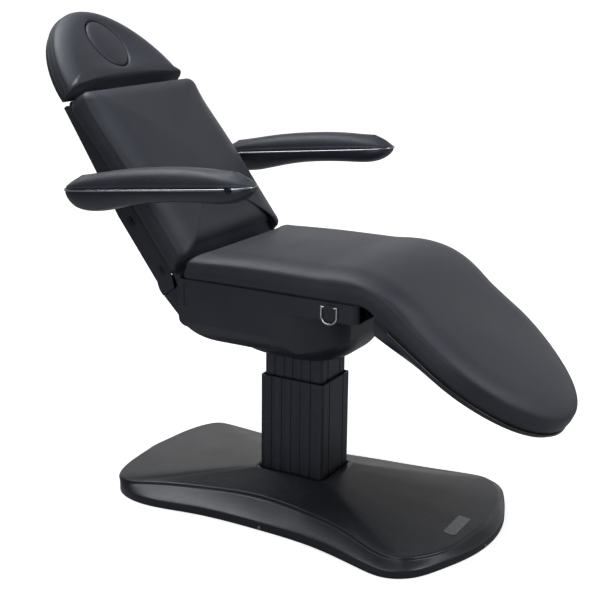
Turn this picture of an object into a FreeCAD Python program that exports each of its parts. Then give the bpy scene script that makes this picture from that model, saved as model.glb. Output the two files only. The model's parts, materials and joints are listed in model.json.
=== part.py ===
import FreeCAD, Part
import math
import os

os.makedirs("parts", exist_ok=True)

# Frame: +X towards the foot end, +Y away from the viewer's side, +Z up.
# The origin is on the floor, on the axis of the lifting column.
# Lengths are in millimetres and angles in degrees.
# The reclining sections are drawn lying flat and are then turned to their rest angles.

# Rest position of the moving sections
back_rest_angle = 51.5
leg_rest_angle = 35.5
headrest_rest_tilt = 4.0
armrest_rest_rise = 6.0

# Clearances
seat_gap = 0.3
running_gap = 0.05
trim_gap = 1.0
overrun = 2.0

# Upholstered sections
section_width = 530.0
board_thickness = 12.0
board_top_height = 679.0
board_over_pivot = 15.0
board_edge_inset = 4.0
cushion_thickness = 76.0
cushion_crown = 8.0
cushion_shoulder = 28.0
cushion_side_swell = 3.0
cushion_draw_in = 3.0
cushion_end_round = 34.0
cushion_bulge_share = 0.42
cushion_shoulder_share = 0.92
# Places near a rounded end, as shares of the rounding, each with its share of the full height
cushion_end_shares = ((0.0, 0.50), (0.2, 0.74), (0.6, 0.94), (1.1, 1.0), (1.9, 1.0))
cushion_middle_shares = (0.25, 0.5, 0.75)
plan_tip_share = 0.99
plan_shares = (0.0, 0.2, 0.4, 0.55, 0.7, 0.8, 0.88, 0.94, 0.98)

# Seat
seat_back_pivot_reach = 268.0
seat_leg_pivot_reach = 307.0
seat_cushion_rear_reach = 238.0
seat_rear_thickness = 64.0
seat_rise_share = 0.6
knee_wrap = 62.0
knee_clear_turn = 120.0
knee_gap = 0.5
knee_side_room = 8.0
knee_core_share = 0.9

# Backrest
back_length = 575.0
back_cushion_start = 18.0
back_cushion_bevel = 56.0
back_cushion_swell = 8.0
back_cover_depth = 48.0
back_cover_top_depth = 10.0
back_cover_wall = 3.0
back_cover_inset = 8.0
back_cover_foot_radius = 58.0
back_cover_foot_inset = 23.0
back_cover_hull_gap = 6.0
back_cover_waist_share = 0.42
back_cover_slope_share = 0.58
back_cover_heel_angles = (-120.0, -80.0, -30.0)
back_board_start = 18.0
back_rail_offset = 108.0
back_frame_start = 40.0
back_frame_head_margin = 143.0
frame_bar_shares = (0.10, 0.92)
side_clip_length = 26.0
side_clip_width = 13.0
side_clip_thickness = 4.0
side_knob_radius = 5.0
side_knob_height = 3.0
side_clip_shares = (0.085, 0.36)
side_clip_depth_share = 0.42

# Headrest
headrest_length = 274.0
headrest_thickness = 54.0
headrest_gap = 12.0
headrest_bevel = 26.0
face_hole_length = 168.0
face_hole_width = 136.0
face_plug_gap = 2.0
face_plug_proud = 2.0
face_ledge = 9.0
face_hole_place_share = 0.50
headrest_round_power = 1.65
headrest_knuckle_side_margin = 69.0
headrest_knuckle_width = 12.0
headrest_knuckle_gap = 0.4
headrest_knuckle_radius = 11.0
headrest_pin_radius = 5.0
headrest_arm_length = 90.0
headrest_arm_thickness = 6.0

# Leg section
leg_length = 546.0
leg_thickness = 62.0
leg_taper_share = 0.3
leg_side_length = 230.0
leg_round_power = 1.75
leg_board_start = 34.0
leg_frame_length = 330.0
leg_cover_slant = 24.0
leg_cover_rim_depth = 7.0
leg_cover_depth = 31.0
leg_cover_draft = 42.0
# How much of the draft the pan has at each place along its plan, and at the tip
leg_cover_draft_shares = (0.0, 0.4, 1.0, 1.0, 1.0, 1.0, 1.0, 1.0, 1.0, 1.0)
leg_cover_wall = 3.0

# Armrests
armrest_spacing = 774.0
armrest_width = 98.0
armrest_length = 582.0
armrest_pivot_from_tip = 58.0
armrest_pivot_along_back = 286.0
armrest_pivot_under_back_pivot = 8.0
armrest_rail_height = 41.0
armrest_rail_thickness = 5.0
armrest_rail_proud = 2.0
armrest_pad_height = 51.0
armrest_shell_depth = 58.0
armrest_axle_radius = 10.0
armrest_axle_grip = 40.0
armrest_flange_radius = 20.0
armrest_flange_thickness = 6.0
armrest_cap_radius = 8.0
armrest_cap_thickness = 4.0
armrest_cap_share = 0.925
armrest_side_shares = (0.985, 0.40)
armrest_shoulder_shares = (0.66, 0.86)
# Armrest outline along its length: place, width, pad height and shell depth, each as a share
armrest_shares = (
    (0.000, 0.30, 0.10, 0.16), (0.022, 0.62, 0.30, 0.52), (0.060, 0.84, 0.44, 0.82),
    (0.120, 0.96, 0.62, 0.99), (0.220, 1.00, 0.82, 0.97), (0.360, 1.00, 0.95, 0.76),
    (0.520, 1.00, 1.00, 0.60), (0.680, 1.00, 0.98, 0.59), (0.820, 0.98, 0.84, 0.66),
    (0.915, 0.88, 0.60, 0.62), (0.970, 0.66, 0.36, 0.42), (1.000, 0.34, 0.12, 0.16))

# Base
base_foot_reach = 590.0
base_head_reach = 555.0
base_half_width = 352.0
base_band_height = 22.0
base_edge_height = 45.0
base_crown_height = 97.0
base_wall = 4.0
base_floor_gap = 2.0
base_plate_thickness = 10.0
floor_pad_thickness = 4.0
floor_pad_radius = 32.0
floor_pad_shares = ((0.72, 0.78), (-0.68, 0.62))
mains_inlet_width = 48.0
mains_inlet_height = 26.0
mains_inlet_depth = 24.0
mains_inlet_centre = 31.0
mains_inlet_rim = 3.0
mains_inlet_recess = 14.0
blank_plate_length = 112.0
blank_plate_width = 34.0
blank_plate_corner = 3.0
blank_plate_thickness = 1.5
blank_plate_reach = 505.0
blank_plate_offset = 56.0
base_screw_radius = 4.5
base_screw_head = 1.6
base_screw_shank = 2.0
base_screw_height = 11.0
base_screw_grip = 6.0
# Places of the cover's screws along the near half of the floor outline, as shares of that half
base_screw_shares = (0.035, 0.515, 0.86)
# Half outline of the base on the floor, as shares of the reach on that side and of the half width,
# from the middle of the foot end to the middle of the head end.
base_floor_shares = (
    (1.0, 0.0), (0.97, 0.36), (0.90, 0.67), (0.825, 0.88), (0.725, 0.97), (0.595, 0.94),
    (0.33, 0.82), (0.0, 0.775), (-0.39, 0.80), (-0.70, 0.845), (-0.84, 0.75), (-0.935, 0.52), (-1.0, 0.0))
# The same for the edge between the sloping side and the top.
base_edge_shares = (
    (0.89, 0.0), (0.87, 0.31), (0.805, 0.55), (0.75, 0.665), (0.67, 0.73), (0.565, 0.75),
    (0.31, 0.66), (0.0, 0.545), (-0.37, 0.635), (-0.70, 0.80), (-0.82, 0.735), (-0.915, 0.49), (-0.96, 0.0))
base_top_shares = ((0.0, 1.0), (0.52, 0.80), (0.83, 0.62), (1.0, 0.46))

# Column
column_length = 202.0
column_width = 160.0
column_top_height = 378.0
column_corner = 9.0
column_wall = 4.0
column_step = 9.0
column_groove_width = 4.0
column_groove_depth = 1.6
column_side_groove_shares = (-0.62, -0.30, 0.0, 0.30, 0.62)
column_end_groove_shares = (-0.5, 0.5)
column_opening_gap = 6.0
column_flange_thickness = 8.0
column_flange_margin = 26.0
lift_down_travel = 30.0
lift_up_travel = 220.0
inner_column_foot_height = 62.0
slide_pad_height = 40.0
slide_pad_width = 60.0
screw_radius = 10.0
screw_foot_height = 60.0
nut_radius = 21.0
nut_height = 36.0
push_tube_radius = 18.0
push_tube_bore = 12.0
flange_bolt_radius = 5.0
flange_bolt_head_radius = 8.5
flange_bolt_head_height = 6.0
lift_screw_reach = 30.0
lift_motor_reach = 42.0
lift_motor_radius = 27.0
lift_motor_height = 120.0
lift_gearbox_length = 150.0
lift_gearbox_width = 76.0
nut_start_gap = 6.0
screw_top_margin = 8.0

# Seat hull and frame
hull_wall = 3.0
hull_rear_reach = 250.0
hull_front_reach = 296.0
hull_floor_drop = 178.0
hull_heel_drop = 134.0
hull_bow_rise = 35.0
hull_nose_reach = 205.0
hull_shoulder_reach = 20.0
hull_corner = 26.0
hull_bilge = 70.0
hull_nose_share = 0.46
hull_flat_shares = (0.46, 0.34)
hull_heel_share = 0.3
hull_rear_sill_drop = 94.0
hull_rear_opening = 496.0
rod_window_width = 64.0
rod_window_drop = 103.0
scoop_reach = 232.0
scoop_top_drop = 11.0
scoop_length = 62.0
scoop_width = 15.0
scoop_depth = 1.8
collar_shares = ((0.0, 1.0), (0.35, 0.97), (0.68, 0.87), (0.88, 0.74), (1.0, 0.62))
control_box_length = 180.0
control_box_width = 54.0
control_box_height = 52.0
control_box_offset = 84.0
collar_length = 392.0
collar_width = 336.0
collar_foot_drop = 227.0
collar_wall = 3.0
collar_corner = 120.0
head_plate_drop = 143.0
head_plate_thickness = 10.0
head_plate_length = 300.0
head_plate_width = 350.0
rail_height = 35.0
rail_width = 25.0
rail_offset = 150.0
rail_rear_reach = 240.0
rail_front_reach = 280.0
post_side = 30.0
lug_thickness = 8.0
lug_radius = 14.0
lug_length = 70.0
hinge_pin_radius = 7.0
hinge_pin_head = 3.0
hinge_pin_head_radius = 11.0
torque_bar_radius = 13.0
hinge_pin_depth = 20.0
frame_tube = 25.0
cross_tube_side = 20.0

# Powered slides that turn the backrest and the leg section
crank_length = 60.0
crank_pin_radius = 7.0
crank_thickness = 8.0
crank_boss_radius = 14.0
crank_web_share = 0.8
crank_side_gap = 1.0
slot_side_gap = 1.6
slot_end_gap = 2.0
crosshead_thickness = 12.0
crosshead_margin = 18.0
crosshead_lip = 9.0
actuator_offset = 52.0
actuator_axis_drop = 58.0
actuator_tube_radius = 17.0
actuator_tube_length = 220.0
actuator_tube_start = 120.0
actuator_bore_depth = 180.0
actuator_rod_radius = 10.0
back_rod_length = 230.0
leg_rod_length = 262.0
gearbox_length = 56.0
gearbox_width = 50.0
actuator_motor_radius = 21.0
actuator_motor_length = 90.0
back_swing_flat = 51.5
back_swing_up = 8.5
leg_swing_up = 35.5
leg_swing_down = 25.0

# Ring on the near side of the seat hull
ring_wire_radius = 2.2
ring_inner_width = 40.0
ring_drop = 44.0
ring_reach = 216.0
ring_bar_drop = 13.0
ring_lug_width = 26.0
ring_lug_wall = 1.8

# Heights and places that follow from the sizes above
half_width = section_width / 2
pivot_height = board_top_height - board_over_pivot
back_frame_length = back_length - back_frame_start - back_frame_head_margin
headrest_knuckle_offset = half_width - headrest_knuckle_side_margin
back_pivot = FreeCAD.Vector(-seat_back_pivot_reach, 0, pivot_height)
leg_pivot = FreeCAD.Vector(seat_leg_pivot_reach, 0, pivot_height)
under_board = board_top_height - board_thickness
hull_floor_height = board_top_height - hull_floor_drop
hull_heel_height = board_top_height - hull_heel_drop
hull_rear_sill = board_top_height - hull_rear_sill_drop
rod_window_low = board_top_height - rod_window_drop
scoop_top = board_top_height - scoop_top_drop
collar_foot_height = board_top_height - collar_foot_drop
head_plate_height = board_top_height - head_plate_drop
ring_bar_height = board_top_height - ring_bar_drop
rail_floor = under_board - rail_height
hull_tray_height = rail_floor - seat_gap - hull_wall
plate_top_height = floor_pad_thickness + base_plate_thickness
column_foot_height = plate_top_height + column_flange_thickness
inner_length = column_length - 2 * column_step
inner_width = column_width - 2 * column_step
head_plate_top = head_plate_height + head_plate_thickness
back_crank_lean = (back_swing_flat + back_swing_up) / 2
leg_crank_lean = (leg_swing_up + leg_swing_down) / 2
headrest_start = back_pivot.x - back_length - headrest_gap
headrest_end = headrest_start - headrest_length
headrest_pivot = FreeCAD.Vector(back_pivot.x - back_length - headrest_gap / 2, 0,
                                under_board - headrest_knuckle_radius - seat_gap)
column_axis_up = FreeCAD.Vector(0, 0, 1)
across = FreeCAD.Vector(0, 1, 0)


def save(name, shape):
    """Write one sub-part and print its box, so the sizes can be read back."""
    shape.exportStep("parts/%s.step" % name)
    box = shape.BoundBox
    print("%-22s solids %d  x %.1f..%.1f  y %.1f..%.1f  z %.1f..%.1f  valid %s" % (
        name, len(shape.Solids), box.XMin, box.XMax, box.YMin, box.YMax, box.ZMin, box.ZMax,
        shape.isValid()))


def block(x0, x1, y0, y1, z0, z1):
    """A box between two corners."""
    return Part.makeBox(x1 - x0, y1 - y0, z1 - z0, FreeCAD.Vector(x0, y0, z0))


def rod_along(start, direction, radius, length):
    """A round bar from a start point."""
    return Part.makeCylinder(radius, length, start, direction)


def joined(shapes):
    """One solid from touching shapes, or a group of separate solids."""
    result = shapes[0].fuse(shapes[1:]) if len(shapes) > 1 else shapes[0]
    return result.removeSplitter()


def group(shapes):
    """Separate solids kept in one node."""
    return Part.makeCompound(shapes)


def mirrored(shape):
    """The far-side twin of a near-side shape."""
    return shape.mirror(FreeCAD.Vector(0, 0, 0), across)


def rounded_outline(length, width, corner, height, centre_x=0.0):
    """A level rectangle with round corners."""
    x, y, r = length / 2, width / 2, corner
    k = r * (1 - math.sqrt(0.5))
    p = lambda px, py: FreeCAD.Vector(centre_x + px, py, height)
    edges = []
    for sx, sy in ((1, 1), (-1, 1), (-1, -1), (1, -1)):
        first = p(sx * x, sy * (y - r))
        last = p(sx * (x - r), sy * y)
        if sx * sy < 0:
            first, last = last, first
        edges.append((first, p(sx * (x - k), sy * (y - k)), last))
    sides = []
    for index, (first, middle, last) in enumerate(edges):
        sides.append(Part.Arc(first, middle, last).toShape())
        following = edges[(index + 1) % len(edges)][0]
        sides.append(Part.LineSegment(last, following).toShape())
    return Part.Wire(sides)


def rounded_prism(length, width, corner, z0, z1, centre_x=0.0):
    """A vertical bar of round-cornered section."""
    face = Part.Face(rounded_outline(length, width, corner, z0, centre_x))
    return face.extrude(FreeCAD.Vector(0, 0, z1 - z0))


def turned_back(shape):
    """Raise a flat-lying backrest piece to its rest angle."""
    return shape.rotated(back_pivot, across, back_rest_angle)


def turned_leg(shape):
    """Lower a flat-lying leg piece to its rest angle."""
    return shape.rotated(leg_pivot, across, leg_rest_angle)


def cushion_outline(x, half, thickness, crown, floor_height):
    """Cross-section of a cushion: flat underside, swollen sides and a crowned top."""
    shoulder = cushion_shoulder * thickness / cushion_thickness
    swell = half + cushion_side_swell * thickness / cushion_thickness
    at = lambda y, rise: FreeCAD.Vector(x, y, floor_height + rise)
    low_far, low_near = at(half, 0), at(-half, 0)
    top_far = at(half - shoulder, cushion_shoulder_share * thickness)
    top_near = at(shoulder - half, cushion_shoulder_share * thickness)
    return Part.Wire([
        Part.LineSegment(low_near, low_far).toShape(),
        Part.Arc(low_far, at(swell, cushion_bulge_share * thickness), top_far).toShape(),
        Part.Arc(top_far, at(0, thickness + crown), top_near).toShape(),
        Part.Arc(top_near, at(-swell, cushion_bulge_share * thickness), low_near).toShape()])


def cushion_loft(x_start, x_end, half_at, thickness_at, round_start, round_end):
    """A cushion from x_start to x_end; half width and thickness are given at a share of the length."""
    length = x_end - x_start
    reach = cushion_end_round / abs(length)
    stations = []
    for share, height_share in cushion_end_shares:
        stations.append((share * reach, height_share if round_start else 1.0))
    last = stations[-1][0]
    for share in cushion_middle_shares:
        stations.append((last + share * (1 - 2 * last), 1.0))
    for share, height_share in reversed(cushion_end_shares):
        stations.append((1 - share * reach, height_share if round_end else 1.0))
    wires = []
    for share, height_share in stations:
        wires.append(cushion_outline(x_start + share * length, half_at(share),
                                     height_share * thickness_at(share), height_share * cushion_crown,
                                     board_top_height))
    return Part.makeLoft(wires, True, False)


def end_bevel(x_end, x_reach):
    """A wedge that slants a cushion's end: nothing at the board, its full reach at the top."""
    low = board_top_height - overrun
    high = board_top_height + cushion_thickness + cushion_crown + overrun
    outside = x_end - math.copysign(overrun, x_reach - x_end)
    corners = [FreeCAD.Vector(outside, -section_width, low), FreeCAD.Vector(outside, -section_width, high),
               FreeCAD.Vector(x_reach, -section_width, high)]
    return Part.Face(Part.makePolygon(corners + corners[:1])).extrude(across * (2 * section_width))


def drawn_in(share):
    """Half width of a straight cushion: its sides pull in a little between the corners."""
    return half_width - cushion_draw_in * math.sin(math.pi * share)


def base_outline(shares, height, inset=0.0, scale=1.0):
    """A closed smooth curve through the shares of the base's reach and half width."""
    points = []
    for x_share, y_share in shares:
        reach = (base_foot_reach if x_share > 0 else base_head_reach) - inset
        points.append(FreeCAD.Vector(scale * reach * x_share,
                                     scale * (base_half_width - inset) * y_share, height))
    far = [FreeCAD.Vector(p.x, -p.y, p.z) for p in reversed(points[1:-1])]
    curve = Part.BSplineCurve()
    curve.interpolate(points + far, PeriodicFlag=True)
    return Part.Wire([curve.toShape()])


def base_solid(inset, floor_height, drop):
    """The base's outer form, or its hollow when inset and dropped by the wall."""
    band = Part.Face(base_outline(base_floor_shares, floor_height, inset)).extrude(
        FreeCAD.Vector(0, 0, base_band_height - floor_height))
    side = Part.makeLoft([base_outline(base_floor_shares, base_band_height, inset),
                          base_outline(base_edge_shares, base_edge_height - drop, inset)], True, True)
    wires = []
    for rise_share, scale in base_top_shares:
        height = base_edge_height - drop + rise_share * (base_crown_height - base_edge_height)
        wires.append(base_outline(base_edge_shares, height, inset, scale))
    return joined([band, side, Part.makeLoft(wires, True, False)])


def column_bar(shrink, z0, z1):
    """The column's round-cornered section, smaller all round by the given amount."""
    return rounded_prism(column_length - 2 * shrink, column_width - 2 * shrink,
                         column_corner - shrink * column_corner / column_length, z0, z1)


def grooved_tube(shrink, z0, z1):
    """A hollow extrusion with shallow grooves along its four faces."""
    tube = column_bar(shrink, z0, z1).cut(column_bar(shrink + column_wall, z0 - overrun, z1 + overrun))
    half_x = column_length / 2 - shrink
    half_y = column_width / 2 - shrink
    cutters = []
    for share in column_side_groove_shares:
        x = share * half_x
        for side in (-1, 1):
            inner, outer = side * (half_y - column_groove_depth), side * (half_y + overrun)
            cutters.append(block(x - column_groove_width / 2, x + column_groove_width / 2,
                                 min(inner, outer), max(inner, outer), z0 - overrun, z1 + overrun))
    for share in column_end_groove_shares:
        y = share * half_y
        for side in (-1, 1):
            inner, outer = side * (half_x - column_groove_depth), side * (half_x + overrun)
            cutters.append(block(min(inner, outer), max(inner, outer), y - column_groove_width / 2,
                                 y + column_groove_width / 2, z0 - overrun, z1 + overrun))
    return tube.cut(cutters)


def base_screws():
    """Screws through the upright rim of the cover, square to it, and the holes that they need."""
    rim = base_outline(base_floor_shares, base_screw_height).Edges[0].Curve
    screws = []
    holes = []
    for share in base_screw_shares:
        for place in (share / 2, 1 - share / 2):
            at = rim.FirstParameter + place * (rim.LastParameter - rim.FirstParameter)
            spot = rim.value(at)
            along = rim.tangent(at)[0]
            inward = FreeCAD.Vector(-along.y, along.x, 0)
            if inward.dot(spot) > 0:
                inward = inward * -1
            head = rod_along(spot, inward * -1, base_screw_radius, base_screw_head)
            shank = rod_along(spot, inward, base_screw_shank, base_wall + base_screw_grip)
            screws.append(joined([head, shank]))
            holes.append(rod_along(spot - inward * overrun, inward, base_screw_shank + running_gap,
                                   base_wall + base_screw_grip + 2 * overrun))
    return screws, holes


def build_base_parts():
    """Cover, steel plate, rubber pads, cover screws, blank badge plate and mains inlet."""
    cover = base_solid(0, base_floor_gap, 0).cut(
        base_solid(base_wall, base_floor_gap - overrun, base_wall))
    opening = rounded_prism(column_length + 2 * column_opening_gap,
                            column_width + 2 * column_opening_gap,
                            column_corner + column_opening_gap, 0, base_crown_height + overrun)
    inlet_mouth = -base_head_reach
    inlet = block(inlet_mouth - overrun, inlet_mouth + mains_inlet_depth,
                  -mains_inlet_width / 2, mains_inlet_width / 2,
                  mains_inlet_centre - mains_inlet_height / 2, mains_inlet_centre + mains_inlet_height / 2)
    cover = cover.cut([opening, inlet])
    socket = block(inlet_mouth, inlet_mouth + mains_inlet_depth,
                   seat_gap - mains_inlet_width / 2, mains_inlet_width / 2 - seat_gap,
                   mains_inlet_centre - mains_inlet_height / 2 + seat_gap,
                   mains_inlet_centre + mains_inlet_height / 2 - seat_gap)
    recess = block(inlet_mouth - overrun, inlet_mouth + mains_inlet_recess,
                   mains_inlet_rim - mains_inlet_width / 2, mains_inlet_width / 2 - mains_inlet_rim,
                   mains_inlet_centre - mains_inlet_height / 2 + mains_inlet_rim,
                   mains_inlet_centre + mains_inlet_height / 2 - mains_inlet_rim)
    plate = Part.Face(base_outline(base_floor_shares, floor_pad_thickness, base_wall + seat_gap)).extrude(
        FreeCAD.Vector(0, 0, base_plate_thickness))
    screws, screw_holes = base_screws()
    cover = cover.cut(screw_holes)
    plate = plate.cut(screw_holes)
    tile = rounded_prism(blank_plate_width, blank_plate_length, blank_plate_corner, base_band_height,
                         2 * base_crown_height, blank_plate_reach)
    tile.translate(across * -blank_plate_offset)
    raised = base_solid(-blank_plate_thickness, base_floor_gap, -blank_plate_thickness)
    save("blank_plate", tile.common(raised).cut(base_solid(0, base_floor_gap, 0)))
    save("base_screws", group(screws))
    pads = [rod_along(FreeCAD.Vector(0, 0, 0), column_axis_up, floor_pad_radius, floor_pad_thickness)]
    for x_share, y_share in floor_pad_shares:
        reach = base_foot_reach if x_share > 0 else base_head_reach
        for side in (-1, 1):
            place = FreeCAD.Vector(x_share * reach, side * y_share * base_half_width, 0)
            pads.append(rod_along(place, column_axis_up, floor_pad_radius, floor_pad_thickness))
    save("base_cover", cover)
    save("base_plate", plate)
    save("floor_pads", group(pads))
    save("mains_inlet", socket.common(base_solid(0, base_floor_gap, 0)).cut(recess))


def build_column():
    """Fixed outer tube with its flange and pads, moving inner tube and the lift drive between them."""
    flange = rounded_prism(column_length + 2 * column_flange_margin, column_width + 2 * column_flange_margin,
                           column_flange_margin, plate_top_height, column_foot_height)
    bolts = []
    holes = []
    for sx in (-1, 1):
        for sy in (-1, 1):
            x = sx * (column_length + column_flange_margin) / 2
            y = sy * (column_width + column_flange_margin) / 2
            low = FreeCAD.Vector(x, y, plate_top_height)
            high = FreeCAD.Vector(x, y, column_foot_height)
            holes.append(rod_along(low, column_axis_up, flange_bolt_radius + seat_gap, column_flange_thickness))
            bolts.append(joined([
                rod_along(low, column_axis_up, flange_bolt_radius, column_flange_thickness),
                rod_along(high, column_axis_up, flange_bolt_head_radius, flange_bolt_head_height)]))
    save("column_flange", flange.cut(holes))
    save("column_bolts", group(bolts))
    save("column_outer", grooved_tube(0, column_foot_height, column_top_height))
    save("column_inner", grooved_tube(column_step, inner_column_foot_height, head_plate_height))

    pad_thickness = column_step - column_wall - seat_gap
    pads = []
    for side in (-1, 1):
        x_out = side * (column_length / 2 - column_wall)
        x_in = x_out - side * pad_thickness
        y_out = side * (column_width / 2 - column_wall)
        y_in = y_out - side * pad_thickness
        z_high = column_top_height - column_wall
        z_low = z_high - slide_pad_height
        pads.append(block(min(x_in, x_out), max(x_in, x_out), -slide_pad_width / 2, slide_pad_width / 2,
                          z_low, z_high))
        pads.append(block(-slide_pad_width / 2, slide_pad_width / 2, min(y_in, y_out), max(y_in, y_out),
                          z_low, z_high))
    save("column_slide_pads", group(pads))

    gearbox = rounded_prism(lift_gearbox_length, lift_gearbox_width, column_corner,
                            column_foot_height, screw_foot_height)
    motor = rod_along(FreeCAD.Vector(-lift_motor_reach, 0, screw_foot_height), column_axis_up,
                      lift_motor_radius, lift_motor_height)
    save("lift_motor", joined([gearbox, motor]))
    nut_foot = screw_foot_height + lift_down_travel + nut_start_gap
    screw_top = nut_foot + nut_height + lift_up_travel + screw_top_margin
    at = lambda z: FreeCAD.Vector(lift_screw_reach, 0, z)
    save("lift_screw", rod_along(at(screw_foot_height), column_axis_up, screw_radius,
                                 screw_top - screw_foot_height))
    nut = rod_along(at(nut_foot), column_axis_up, nut_radius, nut_height)
    save("lift_nut", nut.cut(rod_along(at(nut_foot - overrun), column_axis_up,
                                       screw_radius + running_gap, nut_height + 2 * overrun)))
    tube_foot = nut_foot + nut_height
    tube = rod_along(at(tube_foot), column_axis_up, push_tube_radius, head_plate_height - tube_foot)
    save("lift_push_tube", tube.cut(rod_along(at(tube_foot - overrun), column_axis_up, push_tube_bore,
                                              head_plate_height - tube_foot + 2 * overrun)))
    save("head_plate", block(-head_plate_length / 2, head_plate_length / 2, -head_plate_width / 2,
                             head_plate_width / 2, head_plate_height, head_plate_top))


def profile(points_and_arcs):
    """A closed wire: a plain point draws a line to it, a pair draws an arc through the first to the second."""
    edges = []
    start = points_and_arcs[0]
    here = start
    for item in points_and_arcs[1:]:
        if isinstance(item, tuple):
            edges.append(Part.Arc(here, item[0], item[1]).toShape())
            here = item[1]
        else:
            edges.append(Part.LineSegment(here, item).toShape())
            here = item
    if here.distanceToPoint(start) > running_gap:
        edges.append(Part.LineSegment(here, start).toShape())
    return Part.Wire(edges)


def tangent_middle(start, end, tangent):
    """The middle point of the arc that leaves the start along a unit tangent and meets the end."""
    chord = end - start
    along = chord * (1 / chord.Length)
    lean = math.acos(tangent.dot(along))
    outward = tangent - along * tangent.dot(along)
    outward.normalize()
    return (start + end) * 0.5 + outward * (chord.Length / 2 * math.tan(lean / 2))


def hull_solid(inset, top_height):
    """The seat hull's outer form, or its hollow when inset by the wall."""
    rear = inset - hull_rear_reach
    front = hull_front_reach - inset
    half = half_width - inset
    floor = hull_floor_height + inset
    heel = hull_heel_height + inset
    tray = rounded_prism(front - rear, 2 * half, hull_corner, hull_tray_height + inset, top_height,
                         (front + rear) / 2)
    plan_at = lambda x, y: FreeCAD.Vector(x, y, floor)
    nose = hull_nose_reach - inset
    shoulder = hull_shoulder_reach
    nose_half = half * hull_nose_share
    forward = FreeCAD.Vector(1, 0, 0)
    bulge = tangent_middle(plan_at(shoulder, -half), plan_at(nose, -nose_half), forward)
    plan = Part.Face(profile([
        plan_at(rear, -half), plan_at(shoulder, -half), (bulge, plan_at(nose, -nose_half)),
        plan_at(nose, nose_half), (plan_at(bulge.x, -bulge.y), plan_at(shoulder, half)),
        plan_at(rear, half)])).extrude(FreeCAD.Vector(0, 0, top_height - floor))
    side_at = lambda x, z: FreeCAD.Vector(x, -half, z)
    rear_share, front_share = hull_flat_shares
    flat_rear, flat_front = -hull_rear_reach * rear_share, -hull_rear_reach * front_share
    bow_start, bow_end = side_at(flat_front, floor), side_at(nose, floor + hull_bow_rise)
    flat_start, heel_end = side_at(flat_rear, floor), side_at(rear + hull_corner, heel)
    turn_in = hull_corner * hull_heel_share
    side = Part.Face(profile([
        side_at(rear, top_height), side_at(rear, heel + hull_corner),
        (side_at(rear + turn_in, heel + turn_in), heel_end),
        (tangent_middle(flat_start, heel_end, forward * -1), flat_start),
        bow_start, (tangent_middle(bow_start, bow_end, forward), bow_end),
        side_at(nose, top_height)])).extrude(FreeCAD.Vector(0, 2 * half, 0))
    end_at = lambda y, z: FreeCAD.Vector(rear, y, z)
    bilge = hull_bilge
    turn = bilge * (1 - math.sqrt(0.5))
    wide = half + trim_gap
    low = floor - trim_gap
    section = Part.Face(profile([
        end_at(-wide, top_height), end_at(-wide, low + bilge),
        (end_at(turn - wide, low + turn), end_at(bilge - wide, low)),
        end_at(wide - bilge, low),
        (end_at(wide - turn, low + turn), end_at(wide, low + bilge)),
        end_at(wide, top_height)])).extrude(FreeCAD.Vector(front - rear, 0, 0))
    return joined([tray, plan.common(side).common(section)])


def collar_solid(inset, top_height):
    """The bowl under the seat: a round-cornered rim drawn in towards the column."""
    wires = []
    rim = head_plate_height - seat_gap
    for drop_share, scale in collar_shares:
        height = rim - drop_share * (rim - collar_foot_height) + inset
        if drop_share == 0:
            height = top_height
        wires.append(rounded_outline(collar_length * scale - 2 * inset, collar_width * scale - 2 * inset,
                                     collar_corner * scale - inset, height))
    bowl = Part.makeLoft(wires, True, False)
    room = block(-collar_length, collar_length, -collar_length, collar_length, 0, top_height)
    return bowl.common(room)


def column_sleeve(gap, z0, z1):
    """The space that the moving tube needs, with a gap round it."""
    return rounded_prism(inner_length + 2 * gap, inner_width + 2 * gap, column_corner + gap, z0, z1)


def hinge_lug(pivot, inward, side):
    """A plate on a rail's inner face that carries a hinge pin."""
    y_out = side * rail_offset
    y_in = y_out - side * lug_thickness
    low, high = min(y_in, y_out), max(y_in, y_out)
    end = pivot.x + inward * lug_length
    plate = block(min(pivot.x, end), max(pivot.x, end), low, high,
                  pivot.z - lug_radius, pivot.z)
    boss = rod_along(FreeCAD.Vector(pivot.x, low, pivot.z), across, lug_radius, lug_thickness)
    hole = rod_along(FreeCAD.Vector(pivot.x, low - overrun, pivot.z), across,
                     hinge_pin_radius + running_gap, lug_thickness + 2 * overrun)
    return plate.fuse(boss).cut(hole)


def hinge_pin(pivot, side):
    """A headed pin pushed through a lug from outside."""
    head_y = side * rail_offset
    length = lug_thickness + hinge_pin_depth - trim_gap
    pin = rod_along(FreeCAD.Vector(pivot.x, head_y, pivot.z), across * -side, hinge_pin_radius, length)
    head = rod_along(FreeCAD.Vector(pivot.x, head_y, pivot.z), across * side, hinge_pin_head_radius,
                     hinge_pin_head)
    return joined([pin, head])


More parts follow.
